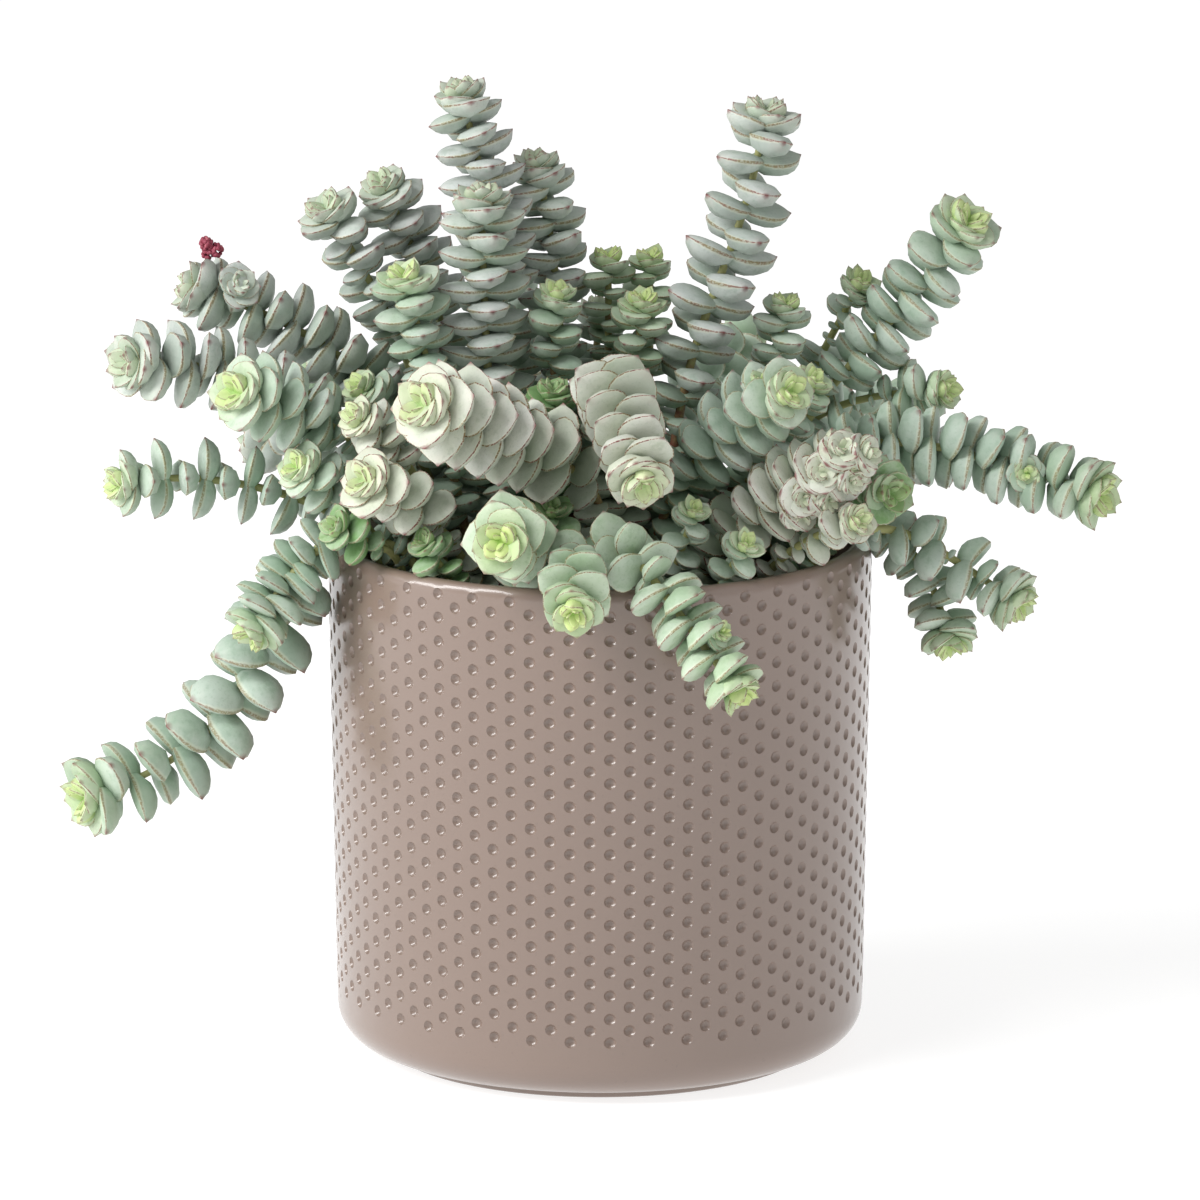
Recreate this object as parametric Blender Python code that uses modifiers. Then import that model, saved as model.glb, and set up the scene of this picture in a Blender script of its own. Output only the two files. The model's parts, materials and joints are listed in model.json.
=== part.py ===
"""Potted jade necklace: stacked succulent stems that rise, arch and trail from a dimpled cylinder pot.

Metres, +Z up. The origin is the middle of the pot's flat underside, and the plant's front looks along -Y.
Routes and leaf sizes are written in millimetres and turned into metres where a mesh is made.
"""

import math
import random
from collections import namedtuple

import bpy
from mathutils import Matrix, Vector, kdtree
from mathutils.bvhtree import BVHTree

MM = 0.001
COLLECTION_NAME = "potted_jade_necklace"
SEED = 11

# Pot
POT_SIDES = 32
POT_HEIGHT = 125.5
RIM_RADIUS = 65.0
BASE_RADIUS = 63.2
WALL = 5.0
BASE_CORNER = 8.5
FOOT_RADIUS = 53.0
FOOT_HEIGHT = 2.2
FOOT_TAPER = 0.6
FLOOR_THICKNESS = 8.0
INNER_CORNER = 5.0

# Soil
SOIL_TOP = 112.0
SOIL_SHOULDER = 0.8
SOIL_DROP_AT_SHOULDER = 0.4
SOIL_DROP_AT_WALL = 2.0
HOLE_DEPTH = 6.0
HOLE_SIDES = 4
HOLE_PAST_TOP = 8.0
STRAIGHT_ABOVE_SOIL = 1.0
GAP = 0.3

# Stems and leaves
CORE_SIDES = 4
CORE_RADIUS = 1.45
CORE_PER_REACH = 0.36
THINNEST_CORE = 0.5
CURVE_STEPS = 24
ROUTE_STEP = 3.0
CORE_CLEARANCE = 3.6
ROOT_CLEARANCE = 5.4
WALL_CLEARANCE = 1.4
ROOT_ZONE = 4.0
EASING_ROUNDS = 60
EASING_SMOOTH = 0.25
UPWARD_SHARE = 0.3
LEAF_SHOULDER = 0.64
LEAF_WAIST = 0.28
WAIST_OVER_CORE = 0.8
UNDERSIDE_INSET = 0.76
UNDERSIDE_DROP = 0.7
LEAF_THICKNESS = 0.5
LEAST_THICKNESS = 1.0
THICKNESS_PER_GAP = 0.85
BARE_NECK_ROOM = 1.0
ROUNDED_REACH = 9.0
ROUNDED_SPACING = 4.5
SMALL_TIP_REACH = 8.0
BEND_TOLERANCE = 0.7
SHORTEST_BEND = 4.0
CORE_TUBE_STEP = 5.0
SMALLEST_REACH = 2.4
SHRINK = 0.87
FITTING_ROUNDS = 22
TOP_COLLAR = 0.2
# A leaf's reach runs from LOW_REACH at the ends of a stem's leafy length to LOW_REACH + FULL_REACH within it
LOW_REACH = 0.86
FULL_REACH = 0.18
SWELL_START = 0.25
SWELL_SPAN = 0.6
REACH_SPREAD = (0.94, 1.05)
RISE_SPREAD = (0.02, 0.16)
FACING_SPREAD = 10.0
# A tip pair is its share of the stem's reach, how far its leaves rise for their reach, and its step
TIP_PAIRS = ((0.84, 0.28, 2.4), (0.62, 0.45, 1.8), (0.42, 0.75, 1.4))
SMALL_TIP_PAIRS = ((0.80, 0.33, 2.3), (0.50, 0.7, 1.9))
TIP_BUD = 1.6

# Half a leaf's width, for a reach of one
NARROW = 0.41
OVAL = 0.45
BROAD = 0.52

GREY_LEAF = (0.36, 0.42, 0.37)
MINT_LEAF = (0.34, 0.46, 0.36)
LIME_LEAF = (0.40, 0.53, 0.31)
CREAM_LEAF = (0.50, 0.54, 0.42)
GREEN_LEAF = (0.24, 0.40, 0.17)
GLAZE = (0.37, 0.29, 0.25)
SOIL_COLOUR = (0.035, 0.024, 0.017)
BUD_COLOUR = (0.28, 0.03, 0.08)

Stem = namedtuple("Stem", "name reach width spacing leafy facing colour route")

# Each route runs from the soil to the tip, in millimetres: x to the right, y away from the front, z up.
# reach is from the stem to a leaf's tip, width is half a leaf's width for a reach of one,
# spacing is between pairs, leafy is the length that bears leaves, and facing is the angle in degrees
# between the pairs and the view from the front.
STEMS = (
    Stem("stem_dense_front", 10.6, BROAD, 3.4, 37, 45, CREAM_LEAF,
         ((6, -16, 112), (3, -21, 146), (1, -30, 167), (3, -44, 171), (6, -58, 162), (10, -71, 153))),
    Stem("stem_dense_left", 12.4, BROAD, 3.6, 43, 45, CREAM_LEAF,
         ((-2, -22, 112), (3, -27, 138), (-6, -33, 149), (-18, -43, 156), (-31, -54, 164), (-41, -66, 170))),
    Stem("stem_trailing_front", 9.8, BROAD, 4.8, 50, 45, LIME_LEAF,
         ((2, -36, 112), (1, -46, 130), (3, -57, 138), (9, -68, 134), (16, -74, 126), (21, -77, 119),
          (27, -79, 112), (32, -84, 106))),
    Stem("stem_over_rim_front", 9.4, BROAD, 3.4, 14, 45, LIME_LEAF,
         ((-4, -40, 112), (-4, -50, 131), (-5, -62, 137), (-6, -72, 131), (-6, -77, 127), (-6, -83, 125))),
    Stem("stem_on_rim_front", 11.0, BROAD, 3.4, 14, 45, LIME_LEAF,
         ((-12, -34, 112), (-16, -45, 132), (-20, -58, 139), (-23, -71, 139))),
    Stem("stem_tall_left", 10.8, OVAL, 4.0, 48, 12, GREY_LEAF,
         ((-20, -5, 112), (-25, -8, 145), (-27, -10, 175), (-28, -10, 208))),
    Stem("stem_tall_left_back", 10.2, OVAL, 4.1, 45, 12, GREY_LEAF,
         ((-16, 12, 112), (-20, 12, 150), (-25, 10, 196), (-29, 10, 214), (-33, 9, 230))),
    Stem("stem_tall_right", 11.2, OVAL, 6.0, 68, 28, GREY_LEAF,
         ((14, 2, 112), (18, 1, 150), (23, 0, 173), (32, 0, 196), (37, -1, 212), (39, -2, 227))),
    Stem("stem_trailing_left", 12.8, OVAL, 6.4, 92, 42, MINT_LEAF,
         ((-46, -14, 112), (-57, -16, 131), (-66, -17, 129), (-72, -16, 118), (-77, -15, 107), (-84, -13, 92),
          (-91, -12, 80), (-99, -12, 73), (-110, -12, 67), (-122, -20, 65))),
    Stem("stem_hanging_rosette_left", 9.8, OVAL, 3.4, 12, 45, MINT_LEAF,
         ((-38, -32, 112), (-51, -32, 133), (-62, -31, 134), (-72, -29, 124), (-79, -30, 113),
          (-82, -36, 109))),
    Stem("stem_long_right", 11.2, OVAL, 4.6, 62, 40, MINT_LEAF,
         ((36, -4, 112), (50, -5, 143), (63, -5, 150), (83, -5, 147), (103, -6, 141), (118, -15, 138))),
    Stem("stem_tall_far_right", 11.2, OVAL, 4.8, 49, 36, MINT_LEAF,
         ((36, 12, 112), (48, 11, 150), (60, 10, 164), (72, 10, 177), (82, 9, 191), (87, 2, 200))),
    Stem("stem_budded_left", 11.0, OVAL, 5.0, 50, 36, GREY_LEAF,
         ((-38, 4, 112), (-46, 5, 150), (-62, 5, 168), (-80, 5, 178), (-97, 4, 184))),
    Stem("stem_upper_left", 11.4, OVAL, 4.6, 37, 36, GREY_LEAF,
         ((-42, -4, 112), (-56, -5, 152), (-80, -6, 165), (-101, -8, 168), (-111, -17, 170))),
    Stem("stem_rosette_left", 11.0, OVAL, 4.0, 26, 45, MINT_LEAF,
         ((-40, -16, 112), (-50, -22, 146), (-65, -24, 158), (-78, -27, 164), (-85, -37, 167))),
    Stem("stem_thin_left", 9.4, NARROW, 5.2, 46, 10, MINT_LEAF,
         ((-48, -4, 112), (-60, -5, 131), (-75, -5, 136), (-99, -6, 141), (-114, -13, 140))),
    Stem("stem_rosette_right", 10.2, OVAL, 4.0, 35, 45, MINT_LEAF,
         ((10, -16, 112), (15, -22, 138), (24, -28, 151), (36, -34, 163), (42, -40, 168), (44, -46, 169))),
    Stem("stem_crested_right", 10.8, BROAD, 3.2, 27, 45, CREAM_LEAF,
         ((22, -26, 112), (29, -34, 134), (40, -40, 141), (50, -44, 148), (58, -48, 154))),
    Stem("stem_crested_right_low", 8.0, OVAL, 3.2, 8, 45, CREAM_LEAF,
         ((32, -26, 112), (44, -38, 130), (54, -48, 137), (60, -54, 140))),
    Stem("stem_green_rosette_right", 9.6, OVAL, 3.4, 10, 45, GREEN_LEAF,
         ((42, -12, 112), (53, -20, 134), (62, -26, 142), (67, -33, 143), (68, -38, 143))),
    Stem("stem_drooping_right", 9.4, OVAL, 5.0, 40, 30, MINT_LEAF,
         ((47, -16, 112), (57, -14, 133), (69, -10, 131), (76, -10, 123), (81, -10, 114), (82, -12, 108),
          (83, -18, 102))),
    Stem("stem_drooping_far_right", 10.0, OVAL, 4.8, 26, 36, MINT_LEAF,
         ((46, -27, 112), (57, -27, 134), (70, -23, 133), (80, -18, 125), (90, -15, 118), (99, -22, 113))),
    Stem("stem_lime_top_left", 9.8, OVAL, 3.9, 28, 20, MINT_LEAF,
         ((-29, -8, 112), (-38, -13, 158), (-43, -15, 178), (-46, -19, 191))),
    Stem("stem_back_left_right", 9.8, OVAL, 4.2, 29, 30, GREY_LEAF,
         ((-22, 24, 112), (-36, 25, 165), (-46, 24, 193), (-52, 18, 206))),
    Stem("stem_back_left", 10.2, OVAL, 4.4, 31, 30, GREY_LEAF,
         ((-32, 14, 112), (-46, 15, 165), (-58, 14, 189), (-65, 8, 202))),
    Stem("stem_upright_centre", 10.0, OVAL, 4.4, 31, 32, GREY_LEAF,
         ((-6, 16, 112), (-9, 19, 160), (-11, 20, 190), (-15, 19, 211))),
    Stem("stem_small_rosette_left", 8.2, OVAL, 3.4, 12, 45, CREAM_LEAF,
         ((-34, -26, 112), (-43, -33, 148), (-51, -36, 160), (-57, -41, 162))),
    Stem("stem_rosette_low_left", 10.2, OVAL, 3.8, 22, 45, CREAM_LEAF,
         ((-26, -24, 112), (-35, -33, 132), (-43, -40, 142), (-51, -46, 147), (-55, -52, 149))),
    Stem("stem_rosette_far_left", 8.4, OVAL, 3.6, 10, 45, MINT_LEAF,
         ((-44, -20, 112), (-58, -28, 139), (-67, -32, 146), (-71, -37, 149))),
    Stem("stem_small_green_left", 7.0, OVAL, 3.2, 5, 45, GREEN_LEAF,
         ((-42, -30, 112), (-54, -37, 131), (-62, -43, 136))),
    Stem("stem_mid_right", 9.4, OVAL, 4.4, 26, 40, MINT_LEAF,
         ((34, 14, 112), (44, 14, 147), (60, 14, 155), (73, 12, 157), (82, 5, 159))),
    Stem("stem_behind_far_right", 8.4, OVAL, 3.8, 18, 40, MINT_LEAF,
         ((34, 22, 112), (48, 21, 155), (57, 20, 171), (62, 14, 183))),
    Stem("stem_centre_small", 8.0, OVAL, 3.8, 14, 45, MINT_LEAF,
         ((-8, -4, 112), (-11, -5, 155), (-11, -6, 176), (-10, -9, 185))),
    Stem("stem_centre_right_small", 8.0, OVAL, 3.8, 14, 45, LIME_LEAF,
         ((6, 6, 112), (8, 1, 155), (9, 0, 172), (10, -3, 182))),
    Stem("stem_back_small_left", 7.6, OVAL, 3.8, 14, 45, LIME_LEAF,
         ((1, 20, 112), (2, 20, 160), (2, 19, 188))),
    Stem("stem_back_small_right", 7.4, OVAL, 3.8, 12, 45, LIME_LEAF,
         ((10, 28, 112), (12, 26, 160), (12, 24, 187))),
    Stem("stem_right_small_tips", 7.8, OVAL, 3.6, 14, 45, MINT_LEAF,
         ((24, 10, 112), (37, 6, 150), (43, 5, 168), (44, 3, 180))),
    Stem("stem_right_inner", 8.6, OVAL, 4.2, 20, 45, MINT_LEAF,
         ((26, -10, 112), (36, -14, 145), (46, -16, 160), (50, -20, 166))),
    Stem("stem_centre_shade", 8.4, OVAL, 4.2, 20, 45, GREEN_LEAF,
         ((-12, -14, 112), (-13, -18, 145), (-11, -22, 164))),
    Stem("stem_centre_front", 7.0, OVAL, 4.2, 10, 45, GREEN_LEAF,
         ((-12, -26, 112), (-12, -35, 128), (-11, -42, 140))),
    Stem("stem_sprout_front", 6.2, OVAL, 4.4, 18, 45, MINT_LEAF,
         ((14, -32, 112), (19, -42, 130), (22, -48, 141))),
    Stem("stem_rim_front_right", 6.8, OVAL, 4.2, 11, 45, MINT_LEAF,
         ((24, -40, 112), (29, -48, 127), (34, -53, 134))),
    Stem("stem_rim_front_left", 6.8, OVAL, 4.2, 8, 45, GREEN_LEAF,
         ((-30, -38, 112), (-36, -44, 126), (-41, -47, 133))),
    Stem("stem_inner_left", 8.0, OVAL, 4.4, 12, 45, MINT_LEAF,
         ((-32, 4, 112), (-42, -4, 145), (-52, -8, 158), (-57, -12, 163))),
    Stem("stem_rear_upright", 8.6, OVAL, 5.0, 20, 45, GREY_LEAF,
         ((0, 30, 112), (-2, 35, 146), (0, 40, 172))),
    Stem("stem_rear_left_high", 8.8, OVAL, 5.0, 30, 45, GREY_LEAF,
         ((-10, 34, 112), (-14, 44, 148), (-20, 54, 166), (-24, 62, 178))),
    Stem("stem_rear_right_high", 8.8, OVAL, 5.0, 30, 45, MINT_LEAF,
         ((14, 40, 112), (20, 50, 142), (28, 64, 154), (36, 78, 158))),
    Stem("stem_rear_right", 8.8, OVAL, 5.0, 30, 45, MINT_LEAF,
         ((26, 34, 112), (40, 46, 138), (58, 62, 144), (76, 76, 140))),
    Stem("stem_rear_left", 8.8, OVAL, 5.0, 30, 45, MINT_LEAF,
         ((-28, 34, 112), (-40, 48, 140), (-56, 62, 150), (-71, 74, 149))),
    Stem("stem_rear_trailing_left", 8.8, OVAL, 5.6, 40, 45, MINT_LEAF,
         ((-14, 46, 112), (-18, 56, 131), (-22, 68, 137), (-26, 80, 128), (-29, 86, 112), (-32, 91, 97))),
    Stem("stem_rear_trailing_right", 8.4, OVAL, 5.2, 26, 45, LIME_LEAF,
         ((6, 48, 112), (8, 58, 131), (10, 70, 136), (13, 81, 127), (14, 88, 114))),
    Stem("stem_right_rear", 8.2, OVAL, 5.0, 25, 45, GREY_LEAF,
         ((44, 26, 112), (58, 33, 134), (74, 40, 138), (89, 46, 133))),
    Stem("stem_left_rear", 8.2, OVAL, 5.0, 25, 45, GREY_LEAF,
         ((-44, 20, 112), (-58, 30, 135), (-72, 38, 139), (-84, 46, 137))),
    Stem("stem_rear_drooping", 7.8, OVAL, 4.4, 20, 45, CREAM_LEAF,
         ((36, 42, 112), (44, 52, 131), (52, 62, 133), (59, 70, 122))),
    Stem("stem_rear_rosette", 8.8, OVAL, 3.8, 12, 45, CREAM_LEAF,
         ((-32, 46, 112), (-40, 54, 131), (-48, 62, 137), (-54, 70, 136))),
)

# The buds are seated on the leaf tip nearest to their place, each as its offset and radius
BUDDED_STEM = "stem_budded_left"
BUD_PLACE = (-90, 2, 192)
BUDS = ((0.0, 0.0, 1.8, 1.5), (2.0, -0.4, 2.6, 1.6), (-0.4, -0.4, 4.1, 1.6))

# A pair sits at a length along its stem. turned is true for every second pair, a quarter turn from the last.
Pair = namedtuple("Pair", "along reach rise turned")


def clear_scene():
    for old in list(bpy.data.objects):
        bpy.data.objects.remove(old, do_unlink=True)


def make_collection(name, cutters=False):
    collection = bpy.data.collections.new(name)
    collection.hide_render = cutters
    bpy.context.scene.collection.children.link(collection)
    return collection


def finish(name, colour, roughness):
    """The one Principled material of a sub-part."""
    material = bpy.data.materials.new(name + "_finish")
    material.use_nodes = True
    shader = material.node_tree.nodes["Principled BSDF"]
    shader.inputs["Base Color"].default_value = (*colour, 1.0)
    shader.inputs["Roughness"].default_value = roughness
    shader.inputs["Metallic"].default_value = 0.0
    return material


def add_object(name, mesh, collection, colour=None, roughness=0.5):
    obj = bpy.data.objects.new(name, mesh)
    collection.objects.link(obj)
    if colour:
        mesh.materials.append(finish(name, colour, roughness))
    return obj


def mesh_from(name, points, faces):
    """A mesh in metres from points in millimetres."""
    mesh = bpy.data.meshes.new(name)
    mesh.from_pydata([Vector(point) * MM for point in points], [], faces)
    mesh.update()
    return mesh


def turned(name, profile, collection, colour, roughness):
    """A solid of revolution from a profile of (radius, height) in millimetres, axis to axis."""
    points = [(radius, 0.0, height) for radius, height in profile]
    mesh = bpy.data.meshes.new(name)
    edges = [(i, i + 1) for i in range(len(points) - 1)]
    mesh.from_pydata([Vector(point) * MM for point in points], edges, [])
    obj = add_object(name, mesh, collection, colour, roughness)
    screw = obj.modifiers.new("turn", "SCREW")
    screw.steps = POT_SIDES
    screw.render_steps = POT_SIDES
    screw.use_merge_vertices = True
    screw.merge_threshold = 0.00005
    return obj


def arc(centre, radius, start, end, steps):
    """Points on an arc in the profile plane, angles in degrees from the +radius direction."""
    return [(centre[0] + radius * math.cos(math.radians(start + (end - start) * i / steps)),
             centre[1] + radius * math.sin(math.radians(start + (end - start) * i / steps)))
            for i in range(steps + 1)]


def pot_profile():
    """From the middle of the inner floor, up the inside, over the lip and down the outside to the foot."""
    lip = WALL / 2
    inner_top = RIM_RADIUS - WALL
    inner_base = BASE_RADIUS - WALL
    inner_corner = arc((inner_base - INNER_CORNER, FLOOR_THICKNESS + INNER_CORNER), INNER_CORNER, -90, 0, 2)
    rim = arc((inner_top + lip, POT_HEIGHT - lip), lip, 180, 0, 4)
    base_corner = arc((BASE_RADIUS - BASE_CORNER, FOOT_HEIGHT + BASE_CORNER), BASE_CORNER, 0, -90, 3)
    foot = [(FOOT_RADIUS, FOOT_HEIGHT), (FOOT_RADIUS - FOOT_TAPER, 0.0), (0.0, 0.0)]
    return [(0.0, FLOOR_THICKNESS)] + inner_corner + rim + base_corner + foot


def inner_radius(height):
    """The radius of the pot's inner wall at a height above its corner."""
    lowest = FLOOR_THICKNESS + INNER_CORNER
    share = (height - lowest) / (POT_HEIGHT - WALL / 2 - lowest)
    return BASE_RADIUS - WALL + share * (RIM_RADIUS - BASE_RADIUS)


def soil_profile():
    """From the middle of the slightly domed top, out to the wall and down to the floor."""
    edge_top = SOIL_TOP - SOIL_DROP_AT_WALL
    bottom = FLOOR_THICKNESS + GAP
    corner_height = FLOOR_THICKNESS + INNER_CORNER
    return [(0.0, SOIL_TOP), (inner_radius(edge_top) * SOIL_SHOULDER, SOIL_TOP - SOIL_DROP_AT_SHOULDER),
            (inner_radius(edge_top) - GAP, edge_top), (inner_radius(corner_height) - GAP, corner_height),
            (inner_radius(corner_height) - INNER_CORNER - GAP, bottom), (0.0, bottom)]


def make_holes(soil, roots, cutters):
    """Plain square holes in the soil, one under each stem, wide enough for it at any turn."""
    radius = (CORE_RADIUS + GAP) / math.cos(math.pi / HOLE_SIDES)
    height = HOLE_DEPTH + HOLE_PAST_TOP
    for root in roots:
        bpy.ops.mesh.primitive_cylinder_add(vertices=HOLE_SIDES, radius=radius * MM, depth=height * MM)
        cutter = bpy.context.object
        cutter.name = "root_hole"
        cutter.location = Vector((root.x, root.y, SOIL_TOP - HOLE_DEPTH + height / 2)) * MM
        cutter.hide_render = True
        cutter.display_type = "WIRE"
        for holder in list(cutter.users_collection):
            holder.objects.unlink(cutter)
        cutters.objects.link(cutter)
    cut = soil.modifiers.new("root_holes", "BOOLEAN")
    cut.operation = "DIFFERENCE"
    cut.operand_type = "COLLECTION"
    cut.collection = cutters
    cut.solver = "EXACT"


def curve_through(points, step):
    """Evenly spaced points on a smooth curve through the given ones."""
    padded = [points[0] * 2 - points[1]] + list(points) + [points[-1] * 2 - points[-2]]
    fine = []
    for before, start, end, after in zip(padded, padded[1:], padded[2:], padded[3:]):
        for i in range(CURVE_STEPS):
            t = i / CURVE_STEPS
            fine.append(0.5 * (2 * start + (end - before) * t
                               + (2 * before - 5 * start + 4 * end - after) * t * t
                               + (3 * start - before - 3 * end + after) * t ** 3))
    fine.append(points[-1].copy())
    return resample(fine, step)


def resample(line, step):
    lengths = [0.0]
    for a, b in zip(line, line[1:]):
        lengths.append(lengths[-1] + (b - a).length)
    count = max(2, round(lengths[-1] / step))
    spaced = []
    index = 0
    for i in range(count + 1):
        along = lengths[-1] * i / count
        while index < len(line) - 2 and lengths[index + 1] < along:
            index += 1
        share = (along - lengths[index]) / max(lengths[index + 1] - lengths[index], 1e-9)
        spaced.append(line[index].lerp(line[index + 1], min(1.0, share)))
    return spaced


def off_the_wall(point):
    """Moves a point of a stem off the pot's wall the shortest way: inwards, outwards or over the rim."""
    clear = CORE_RADIUS + WALL_CLEARANCE
    radius = math.hypot(point.x, point.y)
    inwards = radius - (RIM_RADIUS - WALL - clear)
    outwards = RIM_RADIUS + clear - radius
    upwards = POT_HEIGHT + clear - point.z
    if min(inwards, outwards, upwards) <= 0:
        return point
    if upwards <= min(inwards, outwards):
        return point + Vector((0, 0, upwards))
    step = outwards if outwards < inwards else -inwards
    return point + Vector((point.x, point.y, 0)).normalized() * step


def ease_apart(lines):
    """Moves stems that run too close a little apart, and smooths them again. Roots stay at the soil's top."""
    for _ in range(EASING_ROUNDS):
        owners = [(i, j) for i, line in enumerate(lines) for j in range(len(line))]
        tree = kdtree.KDTree(len(owners))
        for place, (i, j) in enumerate(owners):
            tree.insert(lines[i][j], place)
        tree.balance()
        moves = {}
        for i, j in owners:
            here = lines[i][j]
            needed = ROOT_CLEARANCE if here.z < SOIL_TOP + ROOT_ZONE else CORE_CLEARANCE
            for there, place, distance in tree.find_range(here, needed):
                if owners[place][0] == i:
                    continue
                away = here - there
                away.z *= UPWARD_SHARE
                if away.length < 1e-6:
                    away = Vector((1.0, 0.0, 0.0))
                push = away.normalized() * (needed - distance) * 0.5
                moves[(i, j)] = moves.get((i, j), Vector()) + push
        for (i, j), move in moves.items():
            if j == 0:
                move.z = 0.0
            lines[i][j] = lines[i][j] + move
        for line in lines:
            smoothed = [line[k].lerp((line[k - 1] + line[k + 1]) / 2, EASING_SMOOTH)
                        for k in range(1, len(line) - 1)]
            line[1:-1] = [off_the_wall(point) for point in smoothed]
    return lines


def frames_along(line):
    """A place, direction and two sides for each point, turning as little as possible."""
    frames = []
    side = None
    for k, place in enumerate(line):
        ahead = (line[min(k + 1, len(line) - 1)] - line[max(k - 1, 0)]).normalized()
        if side is None:
            side = ahead.orthogonal().normalized()
        side = (side - ahead * side.dot(ahead)).normalized()
        frames.append((place, ahead, side, ahead.cross(side)))
    return frames


def frame_at(frames, lengths, along):
    """The frame at a length along a stem, between two of its points."""
    along = max(0.0, min(along, lengths[-1]))
    k = max(i for i, length in enumerate(lengths[:-1]) if length <= along)
    share = (along - lengths[k]) / (lengths[k + 1] - lengths[k])
    return tuple(a.lerp(b, share) if n == 0 else a.lerp(b, share).normalized()
                 for n, (a, b) in enumerate(zip(frames[k], frames[k + 1])))


def roll_to_front(stem, frames, lengths, draw):
    """The turn about a stem that sets its pairs at its angle to the view from the front."""
    _, _, side, other = frame_at(frames, lengths, lengths[-1] - stem.leafy / 2)
    to_front = math.atan2(-other.y, -side.y)
    return to_front + math.radians(stem.facing + draw.uniform(-FACING_SPREAD, FACING_SPREAD))


def bends_between(frames, lengths, start, end):
    """Where a bare stretch of stem needs a ring, so that straight runs between rings follow its curve."""
    if end - start < SHORTEST_BEND:
        return [start]
    middle = (start + end) / 2
    ends = (frame_at(frames, lengths, start)[0] + frame_at(frames, lengths, end)[0]) / 2
    if (frame_at(frames, lengths, middle)[0] - ends).length < BEND_TOLERANCE:
        return [start]
    return bends_between(frames, lengths, start, middle) + bends_between(frames, lengths, middle, end)


def leaf_outline(reach, width, turned_pair):
    """The outline of a pair of leaves joined at the stem: two tips and two waists."""
    shoulder = (LEAF_SHOULDER * reach, width * reach)
    waist = max(LEAF_WAIST * reach, core_radius(reach) * WAIST_OVER_CORE)
    quarter = [(reach, 0.0), shoulder, (0.0, waist), (-shoulder[0], shoulder[1])]
    outline = quarter + [(-x, -y) for x, y in quarter]
    if turned_pair:
        outline = [(-y, x) for x, y in outline]
        outline = outline[-2:] + outline[:-2]
    return outline


def core_radius(reach):
    """A stem is thinner under the small pairs at its tip."""
    return min(CORE_RADIUS, max(CORE_PER_REACH * reach, THINNEST_CORE))


def core_outline(radius):
    """The square section of a stem, with its corners between the leaves."""
    angles = [math.pi / 4 + math.pi / 2 * k for k in range(CORE_SIDES)]
    return [(radius * math.cos(angle), radius * math.sin(angle)) for angle in angles]


def tip_pairs(stem):
    return SMALL_TIP_PAIRS if stem.reach < SMALL_TIP_REACH else TIP_PAIRS


def stem_pairs(stem, length, draw):
    """The pairs of a stem from the lowest to the small cupped ones at its tip."""
    tip_length = sum(step for _, _, step in tip_pairs(stem))
    leafy_end = length - tip_length
    count = max(1, round(stem.leafy / stem.spacing))
    pairs = []
    turned_pair = draw.random() < 0.5
    for i in range(count):
        share = i / count
        along = leafy_end - stem.spacing * (count - 1 - i)
        swell = LOW_REACH + FULL_REACH * math.sin(math.pi * (SWELL_START + SWELL_SPAN * share))
        reach = stem.reach * swell * draw.uniform(*REACH_SPREAD)
        pairs.append(Pair(along, reach, draw.uniform(*RISE_SPREAD), turned_pair))
        turned_pair = not turned_pair
    along = leafy_end
    for scale, rise, step in tip_pairs(stem):
        along += step
        pairs.append(Pair(along, stem.reach * scale, rise, turned_pair))
        turned_pair = not turned_pair
    return pairs


def stem_rings(stem, frames, lengths, pairs, roll, extra=0.0):
    """The rings of a stem from its buried end to its bud, and which pair each ring belongs to."""
    rings = []
    owners = []

    def place(outline, along, lift, owner):
        centre, ahead, side, other = frame_at(frames, lengths, along)
        turn = Matrix.Rotation(roll, 3, ahead)
        side = turn @ side
        other = turn @ other
        rings.append([centre + side * x + other * y + ahead * rise for (x, y), rise in zip(outline, lift)])
        owners.append(owner)

    def neck(along, radius=CORE_RADIUS):
        place(core_outline(radius + extra), along, [0.0] * CORE_SIDES, None)

    rounded = stem.reach >= ROUNDED_REACH and stem.spacing >= ROUNDED_SPACING
    neck(0.0)
    first_neck = pairs[0].along - stem.spacing
    for along in bends_between(frames, lengths, lengths[1], pairs[0].along):
        if along < first_neck or along == lengths[1]:
            neck(along)
    previous = None
    for index, pair in enumerate(pairs):
        gap = pair.along - (previous.along if previous else pair.along - stem.spacing)
        tip_pair = index >= len(pairs) - len(tip_pairs(stem))
        previous = pair
        if pair.reach < SMALLEST_REACH and not tip_pair:
            neck(pair.along)
            continue
        thick = max(LEAST_THICKNESS, min(pair.reach * LEAF_THICKNESS, gap * THICKNESS_PER_GAP))
        radius = core_radius(pair.reach)
        if index == 0 or gap - thick * (1 + TOP_COLLAR) > BARE_NECK_ROOM:
            neck(pair.along - thick, radius)
        reach = pair.reach + extra
        outline = leaf_outline(reach, BROAD if tip_pair else stem.width, pair.turned)
        lift = [pair.reach * pair.rise * (math.hypot(x, y) / reach) ** 2 for x, y in outline]
        if rounded and not tip_pair:
            under = [(x * UNDERSIDE_INSET, y * UNDERSIDE_INSET) for x, y in outline]
            place(under, pair.along - thick * UNDERSIDE_DROP, [rise / 2 - extra for rise in lift], index)
        place(outline, pair.along, lift, index)
        neck(pair.along + TOP_COLLAR * thick + extra, radius)
    return rings, owners


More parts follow.
